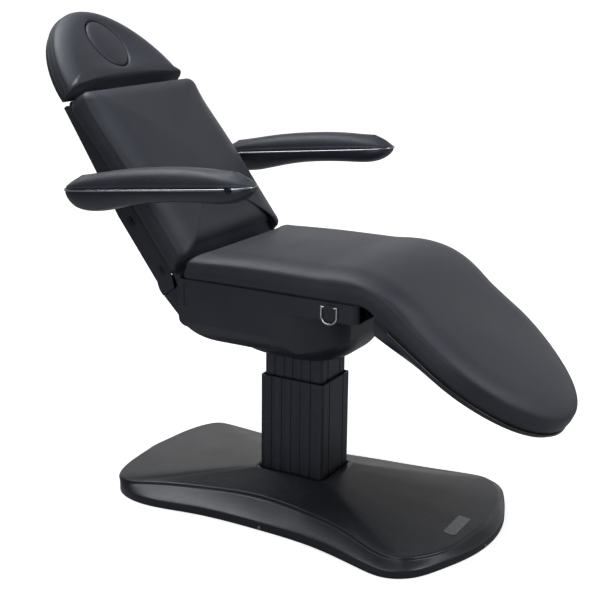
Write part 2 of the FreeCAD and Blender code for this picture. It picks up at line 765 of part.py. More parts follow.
def build_seat():
    """Frame, board, hull and collar that ride on the lifting column."""
    parts = []
    for side in (-1, 1):
        y_near, y_far = sorted((side * rail_offset, side * (rail_offset + rail_width)))
        parts.append(block(-rail_rear_reach, rail_front_reach, y_near, y_far, rail_floor, under_board))
        for end in (-1, 1):
            x_out = end * head_plate_length / 2
            x_in = x_out - end * post_side
            p_out = side * head_plate_width / 2
            p_in = p_out - side * post_side
            parts.append(block(min(x_in, x_out), max(x_in, x_out), min(p_in, p_out), max(p_in, p_out),
                               head_plate_top, rail_floor))
        parts.append(hinge_lug(back_pivot, 1, side))
        parts.append(hinge_lug(leg_pivot, -1, side))
    for end in (-1, 1):
        x_out = end * head_plate_length / 2
        x_in = x_out - end * cross_tube_side
        inner = head_plate_width / 2 - post_side
        parts.append(block(min(x_in, x_out), max(x_in, x_out), -inner, inner, head_plate_top,
                           head_plate_top + cross_tube_side))
    save("seat_frame", joined(parts))
    for name, pivot in (("back_hinge_pins", back_pivot), ("leg_hinge_pins", leg_pivot)):
        save(name, group([hinge_pin(pivot, side) for side in (-1, 1)]))

    board_half = half_width - board_edge_inset
    board_front = seat_leg_pivot_reach - lug_radius - lug_thickness
    board = rounded_prism(board_front + seat_cushion_rear_reach, 2 * board_half, hull_corner - hull_wall,
                          under_board, board_top_height,
                          (board_front - seat_cushion_rear_reach) / 2)
    save("seat_board", board)

    seat_half = lambda share: half_width
    straight = cushion_loft(-seat_cushion_rear_reach, seat_leg_pivot_reach, seat_half, seat_depth_at,
                            True, False)
    knee = Part.Face(cushion_outline(seat_leg_pivot_reach, half_width, cushion_thickness, cushion_crown,
                                     board_top_height)).revolve(leg_pivot, across, knee_wrap)
    save("seat_cushion", joined([straight, knee]))

    outer = hull_solid(0, board_top_height - seat_gap)
    hollow = hull_solid(hull_wall, board_top_height + overrun)
    rear_mouth = block(-hull_rear_reach - overrun, -hull_rear_reach + hull_corner,
                       -hull_rear_opening / 2, hull_rear_opening / 2, hull_rear_sill,
                       board_top_height + overrun)
    front_mouth = block(hull_front_reach - hull_corner, hull_front_reach + overrun, -hull_rear_opening / 2,
                        hull_rear_opening / 2, hull_tray_height + hull_wall, board_top_height + overrun)
    rod_window = block(hull_shoulder_reach, hull_front_reach + overrun,
                       actuator_offset - rod_window_width / 2, actuator_offset + rod_window_width / 2,
                       rod_window_low, board_top_height)
    scoop = block(-scoop_reach, -scoop_reach + scoop_width, -half_width - overrun,
                  -half_width + scoop_depth, scoop_top - scoop_length, scoop_top)
    hull = outer.cut([hollow, rear_mouth, front_mouth, rod_window, scoop,
                      collar_solid(-trim_gap, head_plate_top + hull_wall)])
    save("seat_hull", hull)
    rim = head_plate_height - seat_gap
    collar = collar_solid(0, rim).cut([
        collar_solid(collar_wall, rim + overrun),
        column_sleeve(column_opening_gap, collar_foot_height - overrun, rim + overrun)])
    save("column_collar", collar)
    save("control_box", block(-control_box_length / 2, control_box_length / 2, control_box_offset,
                              control_box_offset + control_box_width, head_plate_top,
                              head_plate_top + control_box_height))


def seat_depth_at(share):
    """Thickness of the seat cushion: lower at the rear, full from the middle on."""
    rise = math.sin(math.pi / 2 * min(1.0, share / seat_rise_share))
    return seat_rear_thickness + (cushion_thickness - seat_rear_thickness) * rise


def headrest_half(share):
    """Half width of the headrest: it rounds off from the hinge to the top."""
    beyond = min(share, plan_tip_share)
    return half_width * math.sqrt(1 - beyond ** headrest_round_power)


def leg_half(share):
    """Half width of the leg section: it narrows in a long curve to a blunt round tip."""
    straight = leg_side_length / leg_length
    beyond = max(0.0, min(share, plan_tip_share) - straight) / (1 - straight)
    return half_width * math.sqrt(1 - beyond ** leg_round_power)


def leg_depth_at(share):
    """Thickness of the leg cushion: as the seat's at the knee, thinner from there on."""
    slope = max(0.0, 1 - share / leg_taper_share)
    return leg_thickness + (cushion_thickness - leg_thickness) * slope


def plan_wire(x_start, x_end, half_at, insets, height):
    """The plan of a cushion as a level wire, drawn in by an inset at each place and at the tip."""
    length = x_end - x_start
    sign = math.copysign(1, length)
    near = []
    for share, inset in zip(plan_shares, insets):
        reach = length - sign * insets[-1]
        near.append(FreeCAD.Vector(x_start + share * reach, inset - half_at(share), height))
    tip = FreeCAD.Vector(x_end - sign * insets[-1], 0, height)
    far = [FreeCAD.Vector(p.x, -p.y, p.z) for p in reversed(near)]
    curve = Part.BSplineCurve()
    curve.interpolate(near + [tip] + far)
    return Part.Wire([curve.toShape(), Part.LineSegment(far[-1], near[0]).toShape()])


def end_plan(x_start, x_end, half_at, inset, height, thickness):
    """A board with the plan of a cushion, smaller all round by the inset."""
    insets = [inset] * (len(plan_shares) + 1)
    face = Part.Face(plan_wire(x_start, x_end, half_at, insets, height))
    return face.extrude(FreeCAD.Vector(0, 0, thickness))


def ellipse_bar(centre_x, length, width, z0, z1):
    """A vertical elliptic bar."""
    centre = FreeCAD.Vector(centre_x, 0, z0)
    if length >= width:
        curve = Part.Ellipse(centre + FreeCAD.Vector(length / 2, 0, 0),
                             centre + FreeCAD.Vector(0, width / 2, 0), centre)
    else:
        curve = Part.Ellipse(centre + FreeCAD.Vector(0, width / 2, 0),
                             centre - FreeCAD.Vector(length / 2, 0, 0), centre)
    return Part.Face(Part.Wire([curve.toShape()])).extrude(FreeCAD.Vector(0, 0, z1 - z0))


def torque_bar(pivot):
    """The cross bar on a hinge axis, between the two lugs."""
    reach = rail_offset - lug_thickness - seat_gap
    return rod_along(FreeCAD.Vector(pivot.x, -reach, pivot.z), across, torque_bar_radius, 2 * reach)


def crank_plates(pivot, offset, lean):
    """Two plates hung from the torque tube, leaning forward from straight down, with the pin's holes."""
    pin = FreeCAD.Vector(pivot.x + crank_length * math.sin(math.radians(lean)), 0,
                         pivot.z - crank_length * math.cos(math.radians(lean)))
    plates = []
    for side in (-1, 1):
        y_in = offset + side * (crosshead_thickness / 2 + crank_side_gap)
        y_low = min(y_in, y_in + side * crank_thickness)
        web_half = crank_boss_radius * crank_web_share
        web = block(pivot.x - web_half, pivot.x + web_half, y_low, y_low + crank_thickness,
                    pivot.z - crank_length, pivot.z)
        web = web.rotated(pivot, across, -lean)
        boss = rod_along(FreeCAD.Vector(pin.x, y_low, pin.z), across, crank_boss_radius, crank_thickness)
        hub = rod_along(FreeCAD.Vector(pivot.x, y_low, pivot.z), across, torque_bar_radius, crank_thickness)
        hole = rod_along(FreeCAD.Vector(pin.x, y_low - overrun, pin.z), across,
                         crank_pin_radius + running_gap, crank_thickness + 2 * overrun)
        plates.append(web.fuse([boss, hub]).cut(hole))
    pin_half = crosshead_thickness / 2 + crank_side_gap + crank_thickness
    crank_pin = rod_along(FreeCAD.Vector(pin.x, offset - pin_half, pin.z), across, crank_pin_radius,
                          2 * pin_half)
    return plates, crank_pin


def section_frame(pivot, direction, start, length, bar_shares):
    """Two tubes under a board, joined by arms to the hinge and by crossbars to each other."""
    low, high = under_board - frame_tube, under_board
    x_first = pivot.x + direction * start
    x_last = pivot.x + direction * length
    parts = []
    for side in (-1, 1):
        y_a, y_b = sorted((side * back_rail_offset, side * (back_rail_offset + frame_tube)))
        parts.append(block(min(x_first, x_last), max(x_first, x_last), y_a, y_b, low, high))
        outer = side * (rail_offset - lug_thickness - seat_gap)
        inner = side * (back_rail_offset + frame_tube)
        arm_low, arm_high = min(inner, outer), max(inner, outer)
        arm_end = pivot.x + direction * (start + frame_tube * 2)
        parts.append(block(min(pivot.x, arm_end), max(pivot.x, arm_end), arm_low, arm_high,
                           pivot.z - torque_bar_radius, high))
        parts.append(rod_along(FreeCAD.Vector(pivot.x, arm_low, pivot.z), across, torque_bar_radius,
                               arm_high - arm_low))
    for share in bar_shares:
        x = x_first + share * (x_last - x_first)
        parts.append(block(x - frame_tube / 2, x + frame_tube / 2, -back_rail_offset, back_rail_offset,
                           low, high))
    holes = []
    for side in (-1, 1):
        mouth = FreeCAD.Vector(pivot.x, side * rail_offset, pivot.z)
        holes.append(rod_along(mouth, across * -side, hinge_pin_radius + running_gap,
                               lug_thickness + hinge_pin_depth))
    return parts, holes


def build_back():
    """Frame, board, cushion, rear cover, clips and armrest axles of the backrest."""
    plates, crank_pin = crank_plates(back_pivot, -actuator_offset, back_crank_lean)
    frame_parts, holes = section_frame(back_pivot, -1, back_frame_start, back_frame_length,
                                       frame_bar_shares)
    axle_x = back_pivot.x - armrest_pivot_along_back
    bar_half = half_width - back_cover_inset - back_cover_wall - trim_gap
    frame_parts.append(block(axle_x - frame_tube / 2, axle_x + frame_tube / 2, -bar_half, bar_half,
                             under_board - frame_tube, under_board))
    axle_z = back_pivot.z - armrest_pivot_under_back_pivot
    axle_inner = bar_half - frame_tube
    axle_outer = armrest_spacing / 2 - armrest_width / 2 + armrest_axle_grip
    axles = []
    for side in (-1, 1):
        start = FreeCAD.Vector(axle_x, side * axle_inner, axle_z)
        holes.append(rod_along(start, across * side, armrest_axle_radius, 2 * frame_tube))
        axle = rod_along(start, across * side, armrest_axle_radius, axle_outer - axle_inner)
        flange = rod_along(FreeCAD.Vector(axle_x, side * (half_width + seat_gap), axle_z), across * side,
                           armrest_flange_radius, armrest_flange_thickness)
        axles.append(joined([axle, flange]))
    frame = joined(frame_parts + plates + [torque_bar(back_pivot)]).cut(holes)
    save("back_frame", turned_back(frame))
    save("back_crank_pin", turned_back(crank_pin))
    save("armrest_axles", turned_back(group(axles)))

    board_half = half_width - board_edge_inset
    board_rear = back_pivot.x - back_board_start
    board = rounded_prism(back_length - back_board_start, 2 * board_half, hull_corner - hull_wall,
                          under_board, under_board + board_thickness,
                          board_rear - (back_length - back_board_start) / 2)
    save("back_board", turned_back(board))

    swollen = lambda share: cushion_thickness + back_cushion_swell * math.sin(math.pi * share)
    cushion = cushion_loft(back_pivot.x - back_cushion_start, back_pivot.x - back_length, drawn_in,
                           swollen, False, True)
    toe = back_pivot.x - back_cushion_start
    cushion = cushion.cut(end_bevel(toe, toe - back_cushion_bevel))
    save("back_cushion", turned_back(cushion))

    save("back_cover", turned_back(back_cover_shell(axle_x, axle_z)))

    clips = []
    for side in (-1, 1):
        face_y = side * (half_width - back_cover_inset)
        for share in side_clip_shares:
            x = back_pivot.x - share * back_length
            z = under_board - back_cover_depth * side_clip_depth_share
            y_a, y_b = sorted((face_y, face_y + side * side_clip_thickness))
            plate = block(x - side_clip_length / 2, x + side_clip_length / 2, y_a, y_b,
                          z - side_clip_width / 2, z + side_clip_width / 2)
            knob = rod_along(FreeCAD.Vector(x, face_y + side * side_clip_thickness, z), across * side,
                             side_knob_radius, side_knob_height)
            clips.append(joined([plate, knob]))
    save("back_side_clips", turned_back(group(clips)))


def back_cover_profile(inset):
    """Side view of the rear cover, open along the board: thin at the top, deep at the waist."""
    top_z = under_board - seat_gap
    x_top = back_pivot.x - back_length + inset
    foot = back_cover_foot_radius - inset
    at = lambda x, z: FreeCAD.Vector(x, 0, z)
    pivot_at = lambda angle: at(back_pivot.x + foot * math.cos(math.radians(angle)),
                                back_pivot.z + foot * math.sin(math.radians(angle)))
    heel, sole, toe = back_cover_heel_angles
    x_waist = back_pivot.x - back_length * back_cover_waist_share
    belly = under_board - back_cover_depth + inset
    middle = at((x_top + x_waist) / 2, under_board - back_cover_depth * back_cover_slope_share + inset)
    return profile([
        at(x_top, top_z), at(x_top, under_board - back_cover_top_depth + inset),
        (middle, at(x_waist, belly)),
        at(pivot_at(heel).x, pivot_at(heel).z),
        (pivot_at(sole), pivot_at(toe)),
        at(back_pivot.x - back_cushion_start - inset, top_z)])


def back_cover_shell(axle_x, axle_z):
    """A moulded tray behind the backrest, narrower where it enters the seat hull."""
    room_x = back_pivot.x - back_cover_foot_radius - trim_gap
    wide_end = -hull_rear_reach - back_cover_hull_gap
    solids = []
    for inset in (0, back_cover_wall):
        face = Part.Face(back_cover_profile(inset))
        forms = []
        for edge_inset, x_low, x_high in (
                (back_cover_inset, back_pivot.x - section_width * 2, wide_end - inset),
                (back_cover_foot_inset, wide_end - inset, back_pivot.x + section_width)):
            half = half_width - edge_inset - inset
            body = face.extrude(across * (2 * half))
            body.translate(across * -half)
            forms.append(body.common(block(x_low, x_high, -section_width, section_width, 0,
                                           2 * board_top_height)))
        solids.append(joined(forms))
    mouth_half = half_width - back_cover_foot_inset - back_cover_wall
    mouth = block(back_pivot.x - back_length + back_cover_wall,
                  back_pivot.x - back_cushion_start - back_cover_wall, -mouth_half, mouth_half,
                  under_board - back_cover_wall - overrun, under_board + overrun)
    hinge_room = block(room_x, back_pivot.x + section_width, -mouth_half, mouth_half, 0,
                       2 * board_top_height)
    cuts = [solids[1], mouth, hinge_room]
    ears_half = headrest_knuckle_width * 3 / 2 + headrest_knuckle_gap + trim_gap
    for side in (-1, 1):
        y_ears = side * headrest_knuckle_offset
        cuts.append(block(headrest_pivot.x - section_width, headrest_pivot.x + headrest_knuckle_radius
                          + trim_gap, y_ears - ears_half, y_ears + ears_half, 0, board_top_height))
    for side in (-1, 1):
        cuts.append(rod_along(FreeCAD.Vector(axle_x, side * half_width / 2, axle_z), across * side,
                              armrest_axle_radius + trim_gap, half_width))
    return solids[0].cut(cuts)


def build_headrest():
    """Tilting headrest with its hinge, face opening and lift-out plug."""
    top = board_top_height
    level = lambda share: headrest_thickness
    cushion = cushion_loft(headrest_start, headrest_end, headrest_half, level, False, True)
    rise = headrest_thickness + cushion_crown + overrun
    hole_x = headrest_start - headrest_length * face_hole_place_share
    cushion = cushion.cut([end_bevel(headrest_start, headrest_start - headrest_bevel),
                           ellipse_bar(hole_x, face_hole_length, face_hole_width, top - overrun,
                                       top + 2 * rise)])
    board = end_plan(headrest_start, headrest_end, headrest_half, board_edge_inset, under_board,
                     board_thickness)
    board = board.cut(ellipse_bar(hole_x, face_hole_length - 2 * face_ledge,
                                  face_hole_width - 2 * face_ledge, under_board - overrun,
                                  top + overrun))
    plug_length = face_hole_length - 2 * face_plug_gap
    plug_width = face_hole_width - 2 * face_plug_gap
    plug_top = top + headrest_thickness + cushion_crown + face_plug_proud
    base_top = top + board_thickness
    plug_base = ellipse_bar(hole_x, plug_length, plug_width, top + seat_gap, base_top)
    plug = ellipse_bar(hole_x, plug_length, plug_width, base_top, plug_top)

    knuckles = []
    frame_ears = []
    pins = []
    ear = headrest_knuckle_width
    for side in (-1, 1):
        middle = side * headrest_knuckle_offset
        y_low = middle - ear / 2
        knuckles.append(rod_along(FreeCAD.Vector(headrest_pivot.x, y_low, headrest_pivot.z), across,
                                  headrest_knuckle_radius, ear))
        arm_end = headrest_start - headrest_arm_length
        knuckles.append(block(arm_end, headrest_pivot.x, y_low, y_low + ear,
                              under_board - headrest_arm_thickness, under_board))
        for turn in (-1, 1):
            ear_in = middle + turn * (ear / 2 + headrest_knuckle_gap)
            e_low = min(ear_in, ear_in + turn * ear)
            frame_ears.append(rod_along(FreeCAD.Vector(headrest_pivot.x, e_low, headrest_pivot.z), across,
                                        headrest_knuckle_radius, ear))
            frame_ears.append(block(headrest_pivot.x, headrest_pivot.x + headrest_arm_length, e_low,
                                    e_low + ear, under_board - headrest_arm_thickness, under_board))
        pin_half = 1.5 * ear + headrest_knuckle_gap
        pins.append(rod_along(FreeCAD.Vector(headrest_pivot.x, middle - pin_half, headrest_pivot.z),
                              across, headrest_pin_radius, 2 * pin_half))
        bore_start = FreeCAD.Vector(headrest_pivot.x, middle - 2 * ear, headrest_pivot.z)
        bore = rod_along(bore_start, across, headrest_pin_radius + running_gap, 4 * ear)
        knuckles[-2] = knuckles[-2].fuse(knuckles[-1]).cut(bore)
        knuckles.pop()
        for index in (-4, -2):
            frame_ears[index] = frame_ears[index].fuse(frame_ears[index + 1]).cut(bore)
        frame_ears = [shape for number, shape in enumerate(frame_ears)
                      if number not in (len(frame_ears) - 1, len(frame_ears) - 3)]
    tilt = lambda shape: shape.rotated(headrest_pivot, across, -headrest_rest_tilt)
    save("headrest_cushion", turned_back(tilt(cushion)))
    save("headrest_board", turned_back(tilt(board)))
    save("headrest_hinge_arms", turned_back(tilt(group(knuckles))))
    save("face_plug_base", turned_back(tilt(plug_base)))
    save("face_plug_cushion", turned_back(tilt(plug)))
    save("headrest_hinge_ears", turned_back(group(frame_ears)))
    save("headrest_hinge_pins", turned_back(group(pins)))


def build_leg():
    """Frame, board, cushion and under cover of the leg section."""
    plates, crank_pin = crank_plates(leg_pivot, actuator_offset, leg_crank_lean)
    frame_parts, holes = section_frame(leg_pivot, 1, back_frame_start, leg_frame_length,
                                       frame_bar_shares)
    frame = joined(frame_parts + plates + [torque_bar(leg_pivot)]).cut(holes)
    save("leg_frame", turned_leg(frame))
    save("leg_crank_pin", turned_leg(crank_pin))
    start = leg_pivot.x
    tip = leg_pivot.x + leg_length
    top = board_top_height
    cushion = cushion_loft(start, tip, leg_half, leg_depth_at, False, True)
    wrap = Part.Face(cushion_outline(leg_pivot.x, half_width + knee_side_room, cushion_thickness + knee_gap,
                                     cushion_crown, top)).revolve(leg_pivot, across, knee_clear_turn)
    core = rod_along(FreeCAD.Vector(leg_pivot.x, -section_width, leg_pivot.z), across,
                     board_over_pivot + cushion_thickness * knee_core_share, 2 * section_width)
    cushion = cushion.cut([core, wrap])
    save("leg_cushion", turned_leg(cushion))
    board = end_plan(start, tip, leg_half, board_edge_inset, under_board, board_thickness)
    board = board.cut(block(start - section_width, start + leg_board_start, -section_width, section_width,
                            0, 2 * board_top_height))
    save("leg_board", turned_leg(board))
    save("leg_cover", turned_leg(leg_cover_shell(start, tip)))


def leg_cover_shell(start, tip):
    """A moulded pan under the leg section: upright at the knee, drawn in along the sides and tip."""
    solids = []
    for inset in (0, leg_cover_wall):
        rim_insets = [board_edge_inset + inset] * (len(plan_shares) + 1)
        floor_insets = [board_edge_inset + inset + share * leg_cover_draft
                        for share in leg_cover_draft_shares]
        rim_top = under_board - seat_gap + (overrun if inset else 0)
        rim_low = under_board - leg_cover_rim_depth
        floor = under_board - leg_cover_depth + inset
        rim = Part.Face(plan_wire(start, tip, leg_half, rim_insets, rim_low)).extrude(
            FreeCAD.Vector(0, 0, rim_top - rim_low))
        pan = Part.makeLoft([plan_wire(start, tip, leg_half, rim_insets, rim_low),
                             plan_wire(start, tip, leg_half, floor_insets, floor)], True, True)
        corner = start + leg_board_start + inset
        slant = Part.Face(profile([
            FreeCAD.Vector(corner, 0, under_board + overrun), FreeCAD.Vector(corner, 0, under_board),
            FreeCAD.Vector(corner + leg_cover_slant, 0, floor),
            FreeCAD.Vector(corner + leg_cover_slant, 0, floor - overrun),
            FreeCAD.Vector(tip, 0, floor - overrun),
            FreeCAD.Vector(tip, 0, under_board + overrun)])).extrude(across * (2 * section_width))
        slant.translate(across * -section_width)
        solids.append(joined([rim, pan]).common(slant))
    hinge_room = block(start, start + leg_board_start + leg_cover_slant + leg_cover_wall,
                       -rail_offset, rail_offset, 0, board_top_height)
    return solids[0].cut([solids[1], hinge_room])


def actuator(name, rod_name, offset, direction, pin, rod_length, swing_low):
    """A powered slide: housing on the head plate, rod and slotted crosshead round the crank's pin."""
    axis_z = pivot_height - actuator_axis_drop
    tube_x = -direction * actuator_tube_start
    mouth_x = tube_x + direction * actuator_tube_length
    side = math.copysign(1, offset)
    tube = rod_along(FreeCAD.Vector(tube_x, offset, axis_z), FreeCAD.Vector(direction, 0, 0),
                     actuator_tube_radius, actuator_tube_length)
    box_end = tube_x - direction * gearbox_length
    y_low, y_high = sorted((offset + side * gearbox_width / 2, -side * actuator_motor_radius))
    gearbox = block(min(tube_x, box_end), max(tube_x, box_end), y_low, y_high,
                    head_plate_top + cross_tube_side, axis_z + gearbox_width / 2)
    motor = rod_along(FreeCAD.Vector(tube_x, 0, axis_z), FreeCAD.Vector(direction, 0, 0),
                      actuator_motor_radius, actuator_motor_length)
    foot_x = mouth_x - direction * post_side
    foot = block(min(mouth_x, foot_x), max(mouth_x, foot_x), offset - actuator_tube_radius,
                 offset + actuator_tube_radius, head_plate_top, axis_z)
    bore = rod_along(FreeCAD.Vector(mouth_x + direction * overrun, offset, axis_z),
                     FreeCAD.Vector(-direction, 0, 0), actuator_rod_radius + running_gap,
                     actuator_bore_depth)
    save(name, joined([tube, gearbox, motor, foot]).cut(bore))
    slot_half = crank_pin_radius + slot_side_gap
    slot_low = pivot_height - crank_length - crank_pin_radius - slot_end_gap
    pin_high = pivot_height - crank_length * math.cos(math.radians(swing_low))
    slot_high = pin_high + crank_pin_radius + slot_end_gap
    plate = block(pin.x - slot_half - crosshead_margin, pin.x + slot_half + crosshead_margin,
                  offset - crosshead_thickness / 2, offset + crosshead_thickness / 2,
                  slot_low - crosshead_lip, slot_high + crosshead_lip)
    slot = block(pin.x - slot_half, pin.x + slot_half, offset - crosshead_thickness,
                 offset + crosshead_thickness, slot_low, slot_high)
    root_x = pin.x - direction * (slot_half + crosshead_margin / 2)
    rod = rod_along(FreeCAD.Vector(root_x, offset, axis_z), FreeCAD.Vector(-direction, 0, 0),
                    actuator_rod_radius, rod_length)
    save(rod_name, joined([plate, rod]).cut(slot))


def crank_pin_at_rest(pivot, swing_from_mid, forward):
    """Where a crank's pin stands at rest; the crank hangs straight down in mid swing."""
    angle = math.radians(swing_from_mid)
    return FreeCAD.Vector(pivot.x + forward * crank_length * math.sin(angle), 0,
                          pivot.z - crank_length * math.cos(angle))


def build_actuators():
    """The two powered slides between the rails."""
    back_mid = (back_swing_up - back_swing_flat) / 2
    leg_mid = (leg_swing_up - leg_swing_down) / 2
    actuator("back_actuator", "back_rod", -actuator_offset, -1,
             crank_pin_at_rest(back_pivot, back_mid, 1), back_rod_length, back_crank_lean)
    actuator("leg_actuator", "leg_rod", actuator_offset, 1,
             crank_pin_at_rest(leg_pivot, leg_mid, -1), leg_rod_length, leg_crank_lean)


def armrest_section(x, half, floor_z, reach, sign):
    """A half-oval section standing on, or hanging from, a level line."""
    at = lambda y_share, rise_share: FreeCAD.Vector(x, half * y_share, floor_z + sign * reach * rise_share)
    side_share, side_rise_share = armrest_side_shares
    shoulder_share, shoulder_rise_share = armrest_shoulder_shares
    return Part.Wire([
        Part.LineSegment(at(-1, 0), at(1, 0)).toShape(),
        Part.Arc(at(1, 0), at(side_share, side_rise_share), at(shoulder_share, shoulder_rise_share)).toShape(),
        Part.Arc(at(shoulder_share, shoulder_rise_share), at(0, 1),
                 at(-shoulder_share, shoulder_rise_share)).toShape(),
        Part.Arc(at(-shoulder_share, shoulder_rise_share), at(-side_share, side_rise_share),
                 at(-1, 0)).toShape()])


def build_armrests():
    """Two armrests: moulded shell, trim rail, pad and round caps."""
    axle_flat = FreeCAD.Vector(back_pivot.x - armrest_pivot_along_back, 0,
                               back_pivot.z - armrest_pivot_under_back_pivot)
    axle = turned_back(Part.Vertex(axle_flat)).Point
    rail_low = axle.z + armrest_rail_height - armrest_rail_thickness / 2
    rail_high = rail_low + armrest_rail_thickness
    rear = axle.x - armrest_pivot_from_tip
    half = armrest_width / 2
    pad_wires, shell_wires, plan = [], [], []
    for place, width, pad, shell in armrest_shares:
        x = rear + place * armrest_length
        pad_wires.append(armrest_section(x, width * half, rail_high, pad * armrest_pad_height, 1))
        shell_wires.append(armrest_section(x, width * half, rail_low, shell * armrest_shell_depth, -1))
        plan.append((x, width * half + armrest_rail_proud))
    pad = Part.makeLoft(pad_wires, True, False)
    shell = Part.makeLoft(shell_wires, True, False)
    near = [FreeCAD.Vector(x, -y, rail_low) for x, y in plan]
    far = [FreeCAD.Vector(x, y, rail_low) for x, y in reversed(plan)]
    rear_tip = FreeCAD.Vector(rear - armrest_rail_proud, 0, rail_low)
    front_tip = FreeCAD.Vector(rear + armrest_length + armrest_rail_proud, 0, rail_low)
    curve = Part.BSplineCurve()
    curve.interpolate([rear_tip] + near + [front_tip] + far, PeriodicFlag=True)
    rail = Part.Face(Part.Wire([curve.toShape()])).extrude(FreeCAD.Vector(0, 0, armrest_rail_thickness))
    cap_x = rear + armrest_length * armrest_cap_share
    centre = armrest_spacing / 2
    cap = rod_along(FreeCAD.Vector(cap_x, 0, (rail_low + rail_high) / 2), across * -1, armrest_cap_radius,
                    half + armrest_cap_thickness)
    core = rod_along(FreeCAD.Vector(cap_x, 0, (rail_low + rail_high) / 2), across * -1, armrest_cap_radius,
                     half - armrest_cap_thickness)
    socket = rod_along(FreeCAD.Vector(axle.x, half + overrun, axle.z), across * -1,
                       armrest_axle_radius + running_gap, armrest_axle_grip + overrun + trim_gap)
    shell = shell.cut([socket, cap])
    rail = rail.cut(cap)
    pad = pad.cut(cap)
    cap = cap.cut(core)
    axle_point = FreeCAD.Vector(axle.x, 0, axle.z)
    for name, side in (("near", -1), ("far", 1)):
        for piece, shape in (("shell", shell), ("rail", rail), ("pad", pad), ("cap", cap)):
            placed = shape.rotated(axle_point, across, -armrest_rest_rise)
            placed.translate(across * -centre)
            if side > 0:
                placed = mirrored(placed)
            save("armrest_%s_%s" % (piece, name), placed)


def build_ring():
    """A hanging ring and its lug on the near side of the hull."""
    lug_face = -half_width
    lug_depth = 2 * (ring_wire_radius + ring_lug_wall)
    ring_y = lug_face - seat_gap - lug_depth / 2
    lug = block(ring_reach - ring_lug_width / 2, ring_reach + ring_lug_width / 2,
                ring_y - lug_depth / 2, lug_face, ring_bar_height - lug_depth / 2,
                ring_bar_height + lug_depth / 2)
    bore = rod_along(FreeCAD.Vector(ring_reach - ring_inner_width, ring_y, ring_bar_height),
                     FreeCAD.Vector(1, 0, 0), ring_wire_radius + running_gap, 2 * ring_inner_width)
    save("ring_lug", lug.cut(bore))
    half = ring_inner_width / 2 + ring_wire_radius
    centre_z = ring_bar_height - ring_drop + half
    at = lambda x, z: FreeCAD.Vector(ring_reach + x, ring_y, z)
    bar = rod_along(at(-half, ring_bar_height), FreeCAD.Vector(1, 0, 0), ring_wire_radius, 2 * half)
    pieces = [bar]
    for side in (-1, 1):
        pieces.append(rod_along(at(side * half, centre_z), column_axis_up, ring_wire_radius,
                                ring_bar_height - centre_z))
        pieces.append(Part.makeSphere(ring_wire_radius, at(side * half, ring_bar_height)))
    bow = Part.Arc(at(-half, centre_z), at(0, centre_z - half), at(half, centre_z)).toShape()
    section = Part.Wire([Part.Circle(at(-half, centre_z), column_axis_up, ring_wire_radius).toShape()])
    pieces.append(Part.Wire([bow]).makePipeShell([section], True, False))
    save("hanging_ring", joined(pieces))


def main():
    build_base_parts()
    build_column()
    build_seat()
    build_back()
    build_headrest()
    build_leg()
    build_actuators()
    build_armrests()
    build_ring()


main()
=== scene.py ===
import functools
import json
import math

import bmesh
import bpy
import numpy as np
from bpy.props import FloatProperty, FloatVectorProperty, PointerProperty
from mathutils import Matrix, Vector


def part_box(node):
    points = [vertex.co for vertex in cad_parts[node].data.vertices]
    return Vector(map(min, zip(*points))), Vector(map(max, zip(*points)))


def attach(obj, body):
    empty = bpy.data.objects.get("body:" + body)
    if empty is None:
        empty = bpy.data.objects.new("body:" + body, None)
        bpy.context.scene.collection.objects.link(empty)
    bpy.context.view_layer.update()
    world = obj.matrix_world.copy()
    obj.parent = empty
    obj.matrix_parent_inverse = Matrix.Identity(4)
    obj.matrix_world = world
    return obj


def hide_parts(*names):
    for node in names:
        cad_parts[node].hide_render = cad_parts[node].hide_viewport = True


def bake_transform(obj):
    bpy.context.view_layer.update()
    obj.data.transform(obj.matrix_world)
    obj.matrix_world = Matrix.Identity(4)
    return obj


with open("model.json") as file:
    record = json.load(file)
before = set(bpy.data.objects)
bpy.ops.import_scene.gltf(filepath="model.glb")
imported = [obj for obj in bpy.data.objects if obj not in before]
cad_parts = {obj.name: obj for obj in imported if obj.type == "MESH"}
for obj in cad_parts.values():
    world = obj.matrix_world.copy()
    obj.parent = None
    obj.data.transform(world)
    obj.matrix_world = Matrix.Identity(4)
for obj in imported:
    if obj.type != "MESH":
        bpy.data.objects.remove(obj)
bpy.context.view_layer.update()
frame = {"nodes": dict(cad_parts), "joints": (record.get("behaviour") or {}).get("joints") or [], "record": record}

bl_info = {
    "name": "Treatment chair dresser",
    "version": (1, 0, 0),
    "blender": (4, 5, 0),
    "location": "View3D > Sidebar > Chair",
    "description": "Upholstery, moulded covers, metal finishes and a studio for a powered treatment chair",
    "category": "Object",
}

# Lengths are in metres. The reclining sections are drawn lying flat, as on the bench, and are then turned.
joints = {joint["name"]: joint for joint in frame["joints"]}
hip = np.array(joints["backrest"]["pos_m"])
knee = np.array(joints["leg_section"]["pos_m"])
neck = np.array(joints["headrest"]["pos_m"])
back_angle = -math.radians(joints["backrest"]["range_deg"][0])
leg_angle = math.radians(joints["leg_section"]["range_deg"][1])
headrest_tip = math.radians(-4.0)
armrest_rise = math.radians(-6.0)
board_over_hip = 0.015
board_thickness = 0.012
board_top = hip[2] + board_over_hip
board_under = board_top - board_thickness
quarter = math.pi / 2


def length_setting(name, description, default, low, high):
    """A size with its limits, shown in the scene's unit of length."""
    return FloatProperty(name=name, description=description, default=default, min=low, max=high,
                         unit="LENGTH")


def colour_setting(name, description, default):
    """A colour, shown as a swatch."""
    return FloatVectorProperty(name=name, description=description, default=default, min=0.0, max=1.0,
                               subtype="COLOR")


def power_setting(name, description, default):
    """A lamp's power."""
    return FloatProperty(name=name, description=description, default=default, min=0.0, unit="POWER")


